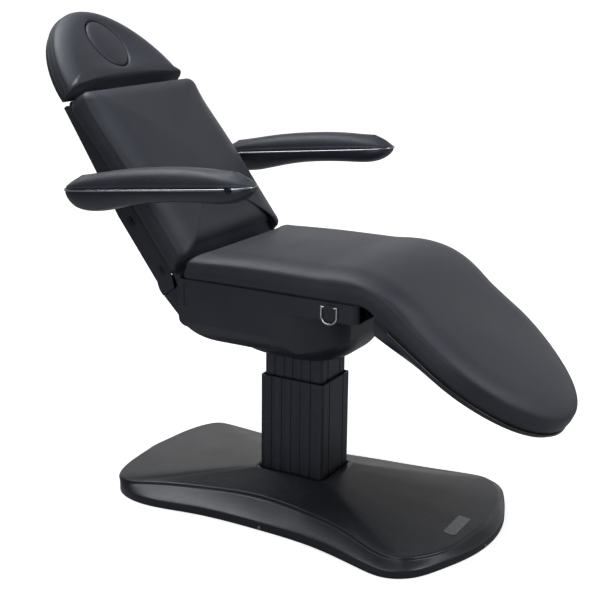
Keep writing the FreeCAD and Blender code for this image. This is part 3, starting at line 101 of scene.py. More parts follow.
class ChairPads(bpy.types.PropertyGroup):
    """Sizes of the upholstery."""
    width: length_setting("Section width", "Width of seat, back and leg cushions", 0.530, 0.4, 0.7)
    seat_thickness: length_setting("Seat thickness", "Cushion height above its board", 0.076, 0.03, 0.15)
    seat_rear_thickness: length_setting("Seat rear thickness", "Seat height at the back", 0.064, 0.03, 0.15)
    leg_thickness: length_setting("Leg thickness", "Height of the leg cushion", 0.066, 0.03, 0.15)
    headrest_thickness: length_setting("Headrest thickness", "Height of the headrest cushion",
                                       0.054, 0.02, 0.12)
    crown: length_setting("Crown", "How far the middle stands above the shoulders", 0.007, 0.0, 0.03)
    shoulder: length_setting("Shoulder", "Width over which the top rounds to the side", 0.080, 0.01, 0.2)
    swell: length_setting("Side swell", "How far the sides bulge outwards", 0.0025, 0.0, 0.02)


class ChairFinish(bpy.types.PropertyGroup):
    """Colours of the chair."""
    leather: colour_setting("Leatherette", "Cover of the cushions", (0.0275, 0.029, 0.040))
    shell: colour_setting("Moulded covers", "Plastic hull and covers", (0.022, 0.023, 0.033))
    base: colour_setting("Base cover", "Plastic cover of the base", (0.009, 0.0098, 0.0145))
    column: colour_setting("Column", "Anodised extrusions", (0.062, 0.064, 0.078))
    trim: colour_setting("Trim", "Glossy trim rails", (0.012, 0.012, 0.015))


class ChairStudio(bpy.types.PropertyGroup):
    """Light and floor of the studio."""
    top_power: power_setting("Top light", "Power of the softbox overhead", 34.0)
    key_power: power_setting("Key light", "Power of the small softbox over the head end", 24.0)
    side_power: power_setting("Foot-side light", "Power of the softbox at the foot end", 32.0)
    front_power: power_setting("Front light", "Power of the softbox in front", 24.0)
    floor: colour_setting("Floor", "Pale studio floor", (0.93, 0.93, 0.93))


def turned(points, pivot, angle):
    """Points turned about the cross axis through a pivot: x and z mix by the angle's cosine and sine."""
    moved = np.array(points, float)
    x, z = moved[..., 0] - pivot[0], moved[..., 2] - pivot[2]
    c, s = np.cos(angle), np.sin(angle)
    moved[..., 0] = pivot[0] + x * c + z * s
    moved[..., 2] = pivot[2] - x * s + z * c
    return moved


def smoothstep(low, high, value):
    """0 below low, 1 above high, and 3t^2 - 2t^3 in between."""
    t = np.clip((value - low) / (high - low), 0.0, 1.0)
    return t * t * (3 - 2 * t)


def on_back(points):
    """From lying flat to the backrest's place."""
    return turned(points, hip, back_angle)


def on_headrest(points):
    """From lying flat to the headrest's place: tipped about the neck hinge, then raised with the back."""
    flat_neck = turned(neck, hip, -back_angle)
    return on_back(turned(points, flat_neck, headrest_tip))


# The length of the knee's bend at the board, and at the knee height above it
knee_bend_low = 0.08
knee_bend_top = 0.30
knee_height = 0.070


def over_knee(points):
    """Bent over the knee: the turn grows along x by a smoothstep, over a longer stretch higher up."""
    height = np.clip((points[..., 2] - board_top) / knee_height, 0.0, 1.0)
    reach = knee_bend_low + (knee_bend_top - knee_bend_low) * height
    return turned(points, knee, leg_angle * smoothstep(-0.5, 0.5, (points[..., 0] - knee[0]) / reach))


def evenly(points, count, endpoint=True):
    """A line read again at equal steps of its length in plan."""
    along = np.concatenate([[0.0], np.cumsum(np.linalg.norm(np.diff(points[:, :2], axis=0), axis=1))])
    wanted = np.linspace(0.0, along[-1], count, endpoint=endpoint)
    return np.column_stack([np.interp(wanted, along, values) for values in points.T])


ring_points = 360


def even_outline(half_x, half_y, count=ring_points):
    """A closed outline, mirrored across the long axis, with its points at equal steps of length."""
    x, y = evenly(np.column_stack([half_x, half_y]), count // 2 + 1).T
    return np.column_stack([np.concatenate([x, x[-2:0:-1]]), np.concatenate([-y, y[-2:0:-1]])])


smallest_length = 1e-12


def outward(outline):
    """Unit normals of a closed outline in plan, from the difference of each point's neighbours."""
    ahead = np.roll(outline, -1, axis=0) - np.roll(outline, 1, axis=0)
    normal = np.column_stack([ahead[:, 1], -ahead[:, 0]])
    normal /= np.linalg.norm(normal, axis=1)[:, None] + smallest_length
    return normal * np.sign(((outline - outline.mean(axis=0)) * normal).sum(axis=1).mean())


def superellipse(angle, half, power):
    """A rounded rectangle: at each angle the radius solves |x / half x|^power + |y / half y|^power = 1."""
    unit = np.column_stack([np.cos(angle), np.sin(angle)])
    return unit * (np.abs(unit / half) ** power).sum(axis=1, keepdims=True) ** (-1 / power)


def spine_along(outline, low, high):
    """For each point of an outline, the nearest point of the long axis between two places."""
    return np.column_stack([np.clip(outline[:, 0], low, high), np.zeros(len(outline))])


def ring(plan, height):
    """A ring of points from its plan and its height, one number or one for each point."""
    return np.column_stack([plan, np.broadcast_to(height, len(plan))])


def ring_faces(rings, count, closed=False):
    """Quads between successive rings of equal count, and from the last to the first where closed."""
    low = np.arange(rings if closed else rings - 1)[:, None] * count
    high = (low + count) % (rings * count)
    here = np.arange(count)[None, :]
    after = (here + 1) % count
    return np.stack([low + here, low + after, high + after, high + here], axis=-1).reshape(-1, 4)


merge_distance = 2e-5


def mesh_from(name, points, faces, material, smooth=True):
    """A mesh object with its place in its vertices, its doubles merged and its faces outwards."""
    mesh = bpy.data.meshes.new(name)
    mesh.from_pydata(points.reshape(-1, 3).tolist(), [], faces.tolist())
    work = bmesh.new()
    work.from_mesh(mesh)
    bmesh.ops.remove_doubles(work, verts=work.verts, dist=merge_distance)
    bmesh.ops.recalc_face_normals(work, faces=work.faces)
    work.to_mesh(mesh)
    work.free()
    mesh.polygons.foreach_set("use_smooth", [smooth] * len(mesh.polygons))
    mesh.materials.append(material)
    piece = bpy.data.objects.new(name, mesh)
    bpy.context.scene.collection.objects.link(piece)
    return piece


bead_points = 12


def bead(path, normal, radius, height):
    """A tube round a level path: at each of its points, a circle in the plane of its normal and z."""
    turn = np.linspace(0.0, 2 * math.pi, bead_points, endpoint=False)
    radius = np.broadcast_to(radius, len(path))[:, None]
    side = path[:, None] + normal[:, None] * (radius * np.cos(turn))[..., None]
    up = height + radius * np.sin(turn)
    return np.concatenate([side, up[..., None]], axis=2)


# A cushion's rings over its top, down its side and across its underside. The underside starts at a share of
# the outline, and the side is tucked in over the lowest share of its height.
top_rings = 40
wall_rings = 12
floor_rings = 5
floor_from_share = 0.9
tuck_depth = 0.0035
tuck_share = 0.18
spine_blur = 16.0


def softened(heights, shares):
    """Heights blurred along each ring by a Gaussian that is widest at the spine and nothing at the edge."""
    count = heights.shape[1]
    width = spine_blur * (1 - shares)[:, None]
    fade = np.exp(-2 * (math.pi * np.fft.rfftfreq(count)[None, :] * width) ** 2)
    return np.fft.irfft(np.fft.rfft(heights, axis=1) * fade, count, axis=1)


def pad_rings(outline, spine, thickness, edge, shoulder, lean, crown, swell, power=2.0):
    """Rings of a cushion lying on z = 0. Its edge, shoulder and lean may change round the outline.

    The top shrinks from the outline to the spine; at a distance d from the edge it stands at
    edge + (thickness - edge) * (1 - (1 - d / shoulder)^power)^(1 / power), plus the crown. The side runs
    down to the board with a sine bulge and a small tuck, and the underside shrinks to the spine again.
    """
    normal = outward(outline)
    depth = ((outline - spine) * normal).sum(axis=1)
    lean = np.broadcast_to(lean, len(outline))
    inner = outline - normal * lean[:, None]
    shares = np.sin(np.linspace(0.0, quarter, top_rings))
    plans = spine + (inner - spine) * shares[:, None, None]
    distance = np.maximum((1 - shares)[:, None] * (depth - lean), 0.0)
    fall = np.clip(1 - distance / shoulder, 0.0, 1.0)
    full = thickness(plans[..., 0])
    rise = (1 - fall ** power) ** (1 / power)
    high = softened(full * edge + full * (1 - edge) * rise + crown * (1 - shares ** 2)[:, None], shares)
    rings = list(np.concatenate([plans, high[..., None]], axis=2))
    for share in np.linspace(1.0, 0.0, wall_rings + 1)[1:]:
        bulge = swell * math.sin(math.pi * share) - tuck_depth * smoothstep(tuck_share, 0.0, share)
        rings.append(ring(outline - normal * (lean * share)[:, None] + normal * bulge, high[-1] * share))
    last = rings[-1][:, :2]
    for share in np.linspace(floor_from_share, 0.0, floor_rings):
        rings.append(ring(spine + (last - spine) * share, 0.0))
    return np.array(rings)


foam_waves = 4
foam_wave_range = (9, 26)
foam_wave_height = 0.0003
foam_from_height = 0.02


def uneven(points, seed):
    """Slow waves of the foam: a sum of sine waves across the cushion, moving what is not near its board."""
    draw = np.random.default_rng(seed)
    moved = points.copy()
    for _ in range(foam_waves):
        kx, ky = draw.uniform(*foam_wave_range, 2) * draw.choice([-1, 1], 2)
        phase = draw.uniform(0, 2 * math.pi)
        wave = np.sin(kx * points[..., 0] + ky * points[..., 1] + phase)
        moved[..., 2] += foam_wave_height * wave * (points[..., 2] > foam_from_height)
    return moved


seat_lift = 0.0002


def on_board(rings):
    """Rings drawn on z = 0, lifted on to the boards."""
    return rings + np.array([0.0, 0.0, board_top + seat_lift])


def pad(name, points, replaced, closed=False):
    """A cushion from its rings in place, which stands for one or more CAD cushions; these are hidden."""
    piece = mesh_from(name, points, ring_faces(*points.shape[:2], closed), leatherette())
    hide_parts(*replaced)
    return piece


def feed(tree, inputs, values):
    """Give each input, by name or number, a value or the socket that feeds it."""
    for label, value in values.items():
        if isinstance(value, bpy.types.NodeSocket):
            tree.links.new(value, inputs[label])
        else:
            inputs[label].default_value = value


def add_node(tree, kind, values=None, **settings):
    """A shader node with its settings and its inputs; gives its outputs."""
    node = tree.nodes.new("ShaderNode" + kind)
    for key, value in settings.items():
        setattr(node, key, value)
    feed(tree, node.inputs, values or {})
    return node.outputs


def noise(tree, place, scale, detail, roughness=0.5):
    """A noise texture's outputs."""
    return add_node(tree, "TexNoise", {"Vector": place, "Scale": scale, "Detail": detail,
                                       "Roughness": roughness})


def map_range(tree, value, from_low=0.0, from_high=1.0, to_low=0.0, to_high=1.0, kind="LINEAR"):
    """A value carried from one range to another and held there."""
    return add_node(tree, "MapRange", {"Value": value, "From Min": from_low, "From Max": from_high,
                                       "To Min": to_low, "To Max": to_high},
                    interpolation_type=kind)["Result"]


def calculate(tree, operation, *values, use_clamp=False):
    """A Math node's result over its values."""
    return add_node(tree, "Math", dict(enumerate(values)), operation=operation, use_clamp=use_clamp)["Value"]


def node_group(title, value_name, value):
    """Make a function into a shader node group, built once, whose inputs are a vector and one named value.

    The function wires the tree from these inputs and returns, by name, what feeds each output.
    """
    def wrap(wire):
        @functools.cache
        @functools.wraps(wire)
        def get():
            tree = bpy.data.node_groups.new(title, "ShaderNodeTree")
            kind = "NodeSocketFloat" if isinstance(value, float) else "NodeSocketVector"
            tree.interface.new_socket("Vector", in_out="INPUT", socket_type="NodeSocketVector")
            tree.interface.new_socket(value_name, in_out="INPUT", socket_type=kind).default_value = value
            results = wire(tree, tree.nodes.new("NodeGroupInput").outputs)
            for label in results:
                tree.interface.new_socket(label, in_out="OUTPUT", socket_type="NodeSocketFloat")
            feed(tree, tree.nodes.new("NodeGroupOutput").inputs, results)
            return tree
        return get
    return wrap


@node_group("Leather grain", "Pebble Scale", 620.0)
def grain_group(tree, source):
    """Leatherette grain: pebbles from the distance to bent Voronoi edges, pores and mottle from noise."""
    place = source["Vector"]
    bend = noise(tree, place, 90.0, 2.0)["Color"]
    bent = add_node(tree, "VectorMath", {0: bend, 1: (0.0022, 0.0022, 0.0022), 2: place},
                    operation="MULTIPLY_ADD")["Vector"]
    cells = add_node(tree, "TexVoronoi", {"Vector": bent, "Scale": source["Pebble Scale"]},
                     feature="DISTANCE_TO_EDGE")["Distance"]
    pebbles = map_range(tree, cells, from_high=0.28, kind="SMOOTHSTEP")
    pores = noise(tree, place, 2400.0, 3.0)["Fac"]
    return {"Height": calculate(tree, "MULTIPLY_ADD", pores, 0.25, pebbles),
            "Mottle": noise(tree, place, 7.0, 4.0)["Fac"], "Pores": pores}


@node_group("Moulded texture", "Speckle Scale", 1500.0)
def moulding_group(tree, source):
    """Spark-eroded plastic: fine speckle for the bump and slow noise for how the gloss varies."""
    return {"Height": noise(tree, source["Vector"], source["Speckle Scale"], 4.0, 0.65)["Fac"],
            "Patches": noise(tree, source["Vector"], 9.0, 5.0)["Fac"]}


@node_group("Handling wear", "Dust Amount", 0.3)
def wear_group(tree, source):
    """Handling marks: thin scratches from stretched noise and dust that lies on what faces up."""
    stretched = add_node(tree, "Mapping", {"Vector": source["Vector"], "Scale": (14.0, 260.0, 260.0),
                                           "Rotation": (0.3, 0.5, 0.4)})["Vector"]
    scratches = map_range(tree, noise(tree, stretched, 1.0, 2.0)["Fac"], 0.66, 0.74)
    upward = add_node(tree, "SeparateXYZ", {"Vector": add_node(tree, "NewGeometry")["Normal"]})["Z"]
    grit = noise(tree, source["Vector"], 55.0, 6.0)["Fac"]
    lying = calculate(tree, "MULTIPLY", map_range(tree, upward, from_low=0.55), grit)
    return {"Scratches": scratches, "Dust": calculate(tree, "MULTIPLY", lying, source["Dust Amount"])}


@node_group("Brushed grain", "Stretch", (900.0, 900.0, 6.0))
def brushed_group(tree, source):
    """Drawn or brushed metal: noise stretched along one axis, for bump and for streaks of roughness."""
    stretched = add_node(tree, "VectorMath", {0: source["Vector"], 1: source["Stretch"]},
                         operation="MULTIPLY")["Vector"]
    return {"Height": noise(tree, stretched, 1.0, 3.0)["Fac"],
            "Streaks": noise(tree, stretched, 0.08, 2.0)["Fac"]}


def lighter(colour, by):
    """A colour scaled in brightness."""
    return tuple(min(1.0, part * by) for part in colour)


# The stretch of a noise mask over which a finish changes
mask_range = (0.3, 0.7)


def finish(name, colour, pattern, values, tone, shades, rough, depth, dust, marks, marks_from="Dust",
           rough_by=None, more_rough=None, metallic=0.0, coat=(0.0, 0.1), sheen=None):
    """A material from a pattern's group and the wear group.

    Two shades of the colour mix by the pattern's tone, and the marks' colour lies over them. The roughness
    runs with a mask, to which a second one may add: its source, its name and its range. The pattern's height
    raises the surface by the depth, in metres.
    """
    material = bpy.data.materials.new(name)
    material.use_nodes = True
    tree = material.node_tree
    place = add_node(tree, "TexCoord")["Object"]
    grain = add_node(tree, "Group", {"Vector": place, **values}, node_tree=pattern)
    wear = add_node(tree, "Group", {"Vector": place, "Dust Amount": dust}, node_tree=wear_group())
    mixed = add_node(tree, "Mix", {"Factor": map_range(tree, grain[tone], *mask_range),
                                   "A": (*lighter(colour, shades[0]), 1.0),
                                   "B": (*lighter(colour, shades[1]), 1.0)}, data_type="RGBA")["Result"]
    marked = add_node(tree, "Mix", {"Factor": wear[marks_from], "A": mixed, "B": (*marks, 1.0)},
                      data_type="RGBA")["Result"]
    roughness = map_range(tree, grain[rough_by or tone], *mask_range, *rough)
    if more_rough:
        source, mask, extra = more_rough
        second = map_range(tree, {"pattern": grain, "wear": wear}[source][mask], *mask_range, *extra)
        roughness = calculate(tree, "ADD", roughness, second, use_clamp=True)
    bump = add_node(tree, "Bump", {"Strength": 1.0, "Distance": depth, "Height": grain["Height"]})["Normal"]
    inputs = tree.nodes["Principled BSDF"].inputs
    feed(tree, inputs, {"Base Color": marked, "Roughness": roughness, "Normal": bump, "Metallic": metallic,
                        "IOR": 1.5, "Coat Weight": coat[0], "Coat Roughness": coat[1]})
    if sheen:
        feed(tree, inputs, {"Sheen Weight": sheen[0], "Sheen Roughness": sheen[1]})
    return material


def chosen(name):
    """A colour as it is set in the panel."""
    return tuple(getattr(bpy.context.scene.chair_finish, name))


@functools.cache
def leatherette():
    """Soft charcoal leatherette with a fine pebble grain."""
    return finish("leatherette", chosen("leather"), grain_group(), {"Pebble Scale": 560.0}, "Mottle",
                  shades=(0.86, 1.14), rough=(0.38, 0.47), depth=0.00011, dust=0.12,
                  marks=(0.20, 0.20, 0.21), sheen=(0.10, 0.35))


@functools.cache
def shell_plastic():
    """Satin moulded plastic of the hull, the rear cover and the armrest shells."""
    return finish("shell_plastic", chosen("shell"), moulding_group(), {}, "Patches", shades=(0.9, 1.15),
                  rough=(0.34, 0.42), depth=0.00006, dust=0.16, marks=(0.16, 0.17, 0.18), coat=(0.30, 0.24))


@functools.cache
def base_plastic():
    """Plastic of the base cover, painted with a fine metallic speckle."""
    return finish("base_plastic", chosen("base"), moulding_group(), {"Speckle Scale": 1100.0}, "Height",
                  shades=(0.75, 1.35), rough_by="Patches", rough=(0.30, 0.38),
                  more_rough=("pattern", "Height", (-0.03, 0.05)), depth=0.00008, dust=0.22,
                  marks=(0.15, 0.16, 0.17), coat=(0.22, 0.32))


@functools.cache
def anodised():
    """Black anodised aluminium extrusion, drawn along its length, with lighter scratches."""
    colour = chosen("column")
    return finish("anodised_column", colour, brushed_group(), {"Stretch": (900.0, 900.0, 5.0)}, "Streaks",
                  shades=(0.85, 1.2), rough=(0.30, 0.42), depth=0.00004, dust=0.1,
                  marks=lighter(colour, 1.5), marks_from="Scratches", metallic=0.85)


@functools.cache
def trim_gloss():
    """Glossy black moulded trim."""
    return finish("trim_gloss", chosen("trim"), moulding_group(), {"Speckle Scale": 400.0}, "Patches",
                  shades=(0.9, 1.2), rough=(0.12, 0.20), more_rough=("wear", "Scratches", (0.0, 0.06)),
                  depth=0.00001, dust=0.1, marks=(0.12, 0.12, 0.13), coat=(0.5, 0.06))


def metal(name, colour, rough, stretch=(700.0, 700.0, 12.0), depth=0.00002, dust=0.08):
    """A metal finish with brushing, streaks and a little dust."""
    return finish(name, colour, brushed_group(), {"Stretch": stretch}, "Streaks", shades=(0.88, 1.08),
                  rough=(rough * 0.8, rough * 1.2), depth=depth, dust=dust, marks=lighter(colour, 0.7),
                  metallic=1.0)


def moulded(name, colour, rough, speckle=1200.0, depth=0.00005, dust=0.15):
    """A plain moulded or painted finish with speckle, patches and a little dust."""
    return finish(name, colour, moulding_group(), {"Speckle Scale": speckle}, "Patches", shades=(0.88, 1.12),
                  rough=(rough * 0.85, rough * 1.15), depth=depth, dust=dust, marks=(0.2, 0.2, 0.2))


@functools.cache
def chrome():
    """Bright plating of the hanging ring."""
    return metal("chrome_plate", (0.80, 0.80, 0.82), 0.07, depth=0.000004, dust=0.03)


@functools.cache
def brushed_steel():
    """Zinc-plated steel of the screws, pins, axles and rods."""
    return metal("zinc_steel", (0.46, 0.46, 0.48), 0.32)


@functools.cache
def bare_plate():
    """Brushed aluminium of the plain plate on the base."""
    return metal("blank_aluminium", (0.34, 0.345, 0.36), 0.28, stretch=(20.0, 1200.0, 1200.0))


@functools.cache
def bead_metal():
    """Dark chrome of the beads along the armrests."""
    return metal("dark_chrome_bead", (0.50, 0.51, 0.55), 0.20, stretch=(40.0, 700.0, 700.0), depth=0.000005)


@functools.cache
def brass():
    """Brass of the lift's nut."""
    return metal("brass_nut", (0.62, 0.45, 0.18), 0.30)


@functools.cache
def frame_paint():
    """Powder coat of the steel frames."""
    return moulded("powder_coat", (0.028, 0.028, 0.031), 0.48, speckle=900.0, depth=0.00012)


@functools.cache
def plate_paint():
    """Coarser and darker coat of the base plate."""
    return moulded("plate_coat", (0.022, 0.022, 0.024), 0.52, speckle=800.0, depth=0.00012)


@functools.cache
def board_cover():
    """Black backing cloth of the plywood boards."""
    return moulded("board_backing", (0.016, 0.016, 0.018), 0.62, speckle=1800.0, depth=0.0001)


@functools.cache
def rubber():
    """Black rubber of the floor pads."""
    return moulded("rubber", (0.018, 0.018, 0.018), 0.75, speckle=1000.0, depth=0.00012)


@functools.cache
def gaiter_rubber():
    """Flexible rubber of the gaiter, in the colour of the moulded covers."""
    return moulded("gaiter_rubber", chosen("shell"), 0.45, speckle=900.0, depth=0.0001)


@functools.cache
def slide_plastic():
    """Natural white plastic of the column's slides."""
    return moulded("slide_plastic", (0.60, 0.60, 0.57), 0.5)


@functools.cache
def drive_plastic():
    """Dark plastic of the drives, the control box and the mains inlet."""
    return moulded("drive_plastic", (0.045, 0.045, 0.05), 0.45)


finish_of_slot = {
    "leatherette": leatherette, "shell_plastic": shell_plastic, "base_plastic": base_plastic,
    "trim_gloss": trim_gloss, "plywood": board_cover, "frame_paint": frame_paint,
    "plate_paint": plate_paint, "anodised": anodised, "steel": brushed_steel, "chrome": chrome,
    "rubber": rubber, "slide_plastic": slide_plastic, "drive_plastic": drive_plastic,
    "plate_bare": bare_plate, "brass": brass,
}
finish_of_node = {"armrest_cap_near": trim_gloss, "armrest_cap_far": trim_gloss}


class CHAIR_OT_finish_frame(bpy.types.Operator):
    """Give every CAD node the finish of its material slot"""
    bl_idname = "chair.finish_frame"
    bl_label = "Finish the frame"

    def execute(self, context):
        for entry in frame["record"]["subparts"]:
            mesh = frame["nodes"][entry["node"]].data
            mesh.materials.clear()
            make = finish_of_node.get(entry["node"], finish_of_slot[entry["material_slot"]])
            mesh.materials.append(make())
        return {"FINISHED"}


# What the large cushions share: the lean of their sides, how far these draw in, and points on a corner
side_lean = 0.002
side_draw = 0.003
corner_points = 24
# The seat from its rear edge: what the rear adds to the lean and its edge's height as a share, the stretches
# over which it leans, draws in and rises, and its spine and shoulder as shares of the half width and depth
seat_rear = hip[0] + 0.018
seat_rear_lean = 0.016
seat_rear_lean_reach = (0.030, 0.006)
seat_corner = 0.034
seat_draw_reach = 0.55
seat_rise_share = 0.6
seat_edge_share = 0.60
seat_rear_edge_share = 0.56
seat_spine_share = 0.85
seat_shoulder_share = 0.9
seat_leg_points = 520
seat_side_points = 120
# The leg from the knee: the dip there, where the seat's thickness gives way to the leg's, the straight side,
# and the tip
knee_dip = 0.007
knee_dip_reach = 0.085
leg_fade_reach = (-0.02, 0.20)
leg_length = 0.546
leg_side = 0.230
leg_power = 1.75
leg_tip_points = 160
leg_taper_reach = 0.16


def seat_leg_half_outline(half):
    """From the middle of the seat's rear edge, round its corner, along the side and in to the leg's tip.

    The corner is a quarter circle; past the straight side the half width is
    half * sqrt(1 - t^power), t running from 0 to 1 over the rest of the leg.
    """
    turn = np.linspace(0.0, quarter, corner_points)
    corner_x = seat_rear + seat_corner * (1 - np.sin(turn))[::-1]
    corner_y = half - seat_corner * (1 - np.cos(turn))[::-1]
    side_x = np.linspace(seat_rear + seat_corner, knee[0] + leg_side, seat_side_points)
    side_y = half - side_draw * np.sin(math.pi * np.clip((side_x - seat_rear) / seat_draw_reach, 0, 1))
    t = np.sin(np.linspace(0.0, quarter, leg_tip_points))
    tip_x = knee[0] + leg_side + t * (leg_length - leg_side)
    tip_y = half * np.sqrt(np.maximum(1 - t ** leg_power, 0.0))
    return (np.concatenate([[seat_rear], corner_x, side_x, tip_x]),
            np.concatenate([[0.0], corner_y, side_y, tip_y]))


class CHAIR_OT_seat_leg_pad(bpy.types.Operator):
    """One cushion over the seat and the leg section, bent over the knee"""
    bl_idname = "chair.seat_leg_pad"
    bl_label = "Seat and leg cushion"

    def execute(self, context):
        pads = context.scene.chair_pads
        half = pads.width / 2
        outline = even_outline(*seat_leg_half_outline(half), count=seat_leg_points)
        spine = spine_along(outline, seat_rear + half * seat_spine_share,
                            knee[0] + leg_length - leg_taper_reach)

        def thickness(x):
            """Rising from the rear by a sine, dipped at the knee by a Gaussian, then fading to the leg's."""
            along = (x - seat_rear) / (seat_rise_share * (knee[0] - seat_rear))
            rise = np.sin(quarter * np.clip(along, 0, 1))
            seat = pads.seat_rear_thickness + (pads.seat_thickness - pads.seat_rear_thickness) * rise
            fade = smoothstep(knee[0] + leg_fade_reach[0], knee[0] + leg_fade_reach[1], x)
            dip = knee_dip * np.exp(-((x - knee[0]) / knee_dip_reach) ** 2)
            return seat + (pads.leg_thickness - seat) * fade - dip

        depth = ((outline - spine) * outward(outline)).sum(axis=1)
        rear = smoothstep(seat_rear + seat_rear_lean_reach[0], seat_rear + seat_rear_lean_reach[1],
                          outline[:, 0])
        rings = pad_rings(outline, spine, thickness,
                          edge=seat_edge_share + (seat_rear_edge_share - seat_edge_share) * rear,
                          shoulder=np.minimum(pads.shoulder, depth * seat_shoulder_share),
                          lean=side_lean + seat_rear_lean * rear, crown=pads.crown, swell=pads.swell)
        piece = pad("seat_leg_cushion", over_knee(on_board(uneven(rings, seed=3))),
                    ["seat_cushion", "leg_cushion"])
        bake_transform(piece)
        return {"FINISHED"}


leg_bead_radius = 0.0032
leg_bead_from = 0.075
leg_bead_rings = 320


class CHAIR_OT_leg_bead(bpy.types.Operator):
    """The glossy rim of the leg section's pan: a small circle carried round the leg under the cushion"""
    bl_idname = "chair.leg_bead"
    bl_label = "Leg rim"

    def execute(self, context):
        half = np.column_stack(seat_leg_half_outline(context.scene.chair_pads.width / 2))
        half = half[half[:, 0] > knee[0] + leg_bead_from]
        path = evenly(np.concatenate([half * (1, -1), half[-2::-1]]), leg_bead_rings)
        ahead = np.gradient(path, axis=0)
        normal = np.column_stack([-ahead[:, 1], ahead[:, 0]]) / np.linalg.norm(ahead, axis=1)[:, None]
        radius = np.full(leg_bead_rings, leg_bead_radius)
        radius[[0, -1]] = 0.0
        tube = turned(bead(path, normal, radius, (board_top + board_under) / 2), knee, leg_angle)
        piece = mesh_from("leg_rim_bead", tube, ring_faces(leg_bead_rings, bead_points), trim_gloss())
        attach(piece, "leg")
        return {"FINISHED"}


back_length = 0.575
back_toe = 0.018
back_toe_lean = 0.044
back_toe_reach = (0.030, 0.004)
back_head_reach = (0.100, 0.004)
back_corner = 0.030
back_toe_corner_share = 0.5
back_side_points = 80
back_spine_share = 0.8
back_belly = 0.008
# The edge's height and the shoulder's width, and what the toe and the head add to them
back_edge_shares = (0.56, 0.06, 0.10)
back_shoulder_shares = (1.0, -0.25, -0.42)


class CHAIR_OT_back_pad(bpy.types.Operator):
    """The backrest cushion: slanted at the foot to clear the seat, rounded at the top"""
    bl_idname = "chair.back_pad"
    bl_label = "Backrest cushion"

    def execute(self, context):
        pads = context.scene.chair_pads
        half = pads.width / 2
        low, high = hip[0] - back_toe, hip[0] - back_length
        turn = np.linspace(0.0, quarter, corner_points)
        toe_corner = back_toe_corner_share * back_corner
        side_x = np.linspace(low - back_corner, high + back_corner, back_side_points)
        side_y = half - side_draw * np.sin(math.pi * (side_x - low) / (high - low))
        outline = even_outline(
            np.concatenate([[low], low - toe_corner * (1 - np.cos(turn)), side_x,
                            high + back_corner * (1 - np.sin(turn)), [high]]),
            np.concatenate([[0.0], half - toe_corner * (1 - np.sin(turn)), side_y,
                            half - back_corner * (1 - np.cos(turn)), [0.0]]))
        spine = spine_along(outline, high + half * back_spine_share, low - half * back_spine_share)
        toe = smoothstep(low - back_toe_reach[0], low - back_toe_reach[1], outline[:, 0])
        head = smoothstep(high + back_head_reach[0], high + back_head_reach[1], outline[:, 0])
        ends = np.array([np.ones(len(toe)), toe, head])

        def thickness(x):
            """The seat's thickness and a sine belly."""
            along = np.clip((x - low) / (high - low), 0, 1)
            return pads.seat_thickness + back_belly * np.sin(math.pi * along)

        rings = pad_rings(outline, spine, thickness, edge=back_edge_shares @ ends,
                          shoulder=pads.shoulder * (back_shoulder_shares @ ends),
                          lean=side_lean + back_toe_lean * toe, crown=pads.crown, swell=pads.swell)
        piece = pad("backrest_cushion", on_back(on_board(uneven(rings, seed=5))), ["back_cushion"])
        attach(piece, "back")
        return {"FINISHED"}


headrest_length = 0.274
headrest_gap = 0.012
headrest_start = hip[0] - back_length - headrest_gap
headrest_power = 1.65
headrest_corner = 0.010
headrest_points = 400
headrest_shoulder = 0.070
headrest_edge_share = 0.52
headrest_crown_share = 0.7
headrest_top_rings = 45
headrest_tuck = 0.003
headrest_under_shares = (0.8, 1.6 / 3, 0.8 / 3)
# The front edge: how far back it reaches, its shoulder, its lean and hollow at the middle, and its height
# at the corners and what the middle adds, as shares of the thickness
front_reach = (0.020, 0.004)
front_shoulder = 0.022
front_lean = 0.020
front_hollow = 0.004
front_edge_shares = (0.12, 0.66)
face_hole_half = (0.084, 0.068)
face_hole_share = 0.50
face_lip = 0.009
face_wall_rings = 9


def oval_at(hole_x, angle, gap=0.0):
    """Points of the face opening's ellipse, drawn in by a gap."""
    return np.column_stack([hole_x + (face_hole_half[0] - gap) * np.cos(angle),
                            (face_hole_half[1] - gap) * np.sin(angle)])


def headrest_outline(half):
    """The headrest's plan: a straight edge at the neck and half * sqrt(1 - t^power) up to the top."""
    t = np.sin(np.linspace(0.0, quarter, headrest_points // 2))
    x = headrest_start - t * headrest_length
    y = half * np.sqrt(np.maximum(1 - t ** headrest_power, 0.0))
    turn = np.linspace(0.0, quarter, corner_points // 2)[1:-1]
    past = x < headrest_start - headrest_corner
    return even_outline(
        np.concatenate([[headrest_start], headrest_start - headrest_corner * (1 - np.cos(turn)), x[past]]),
        np.concatenate([[0.0], half - headrest_corner * (1 - np.sin(turn)), y[past]]), headrest_points)


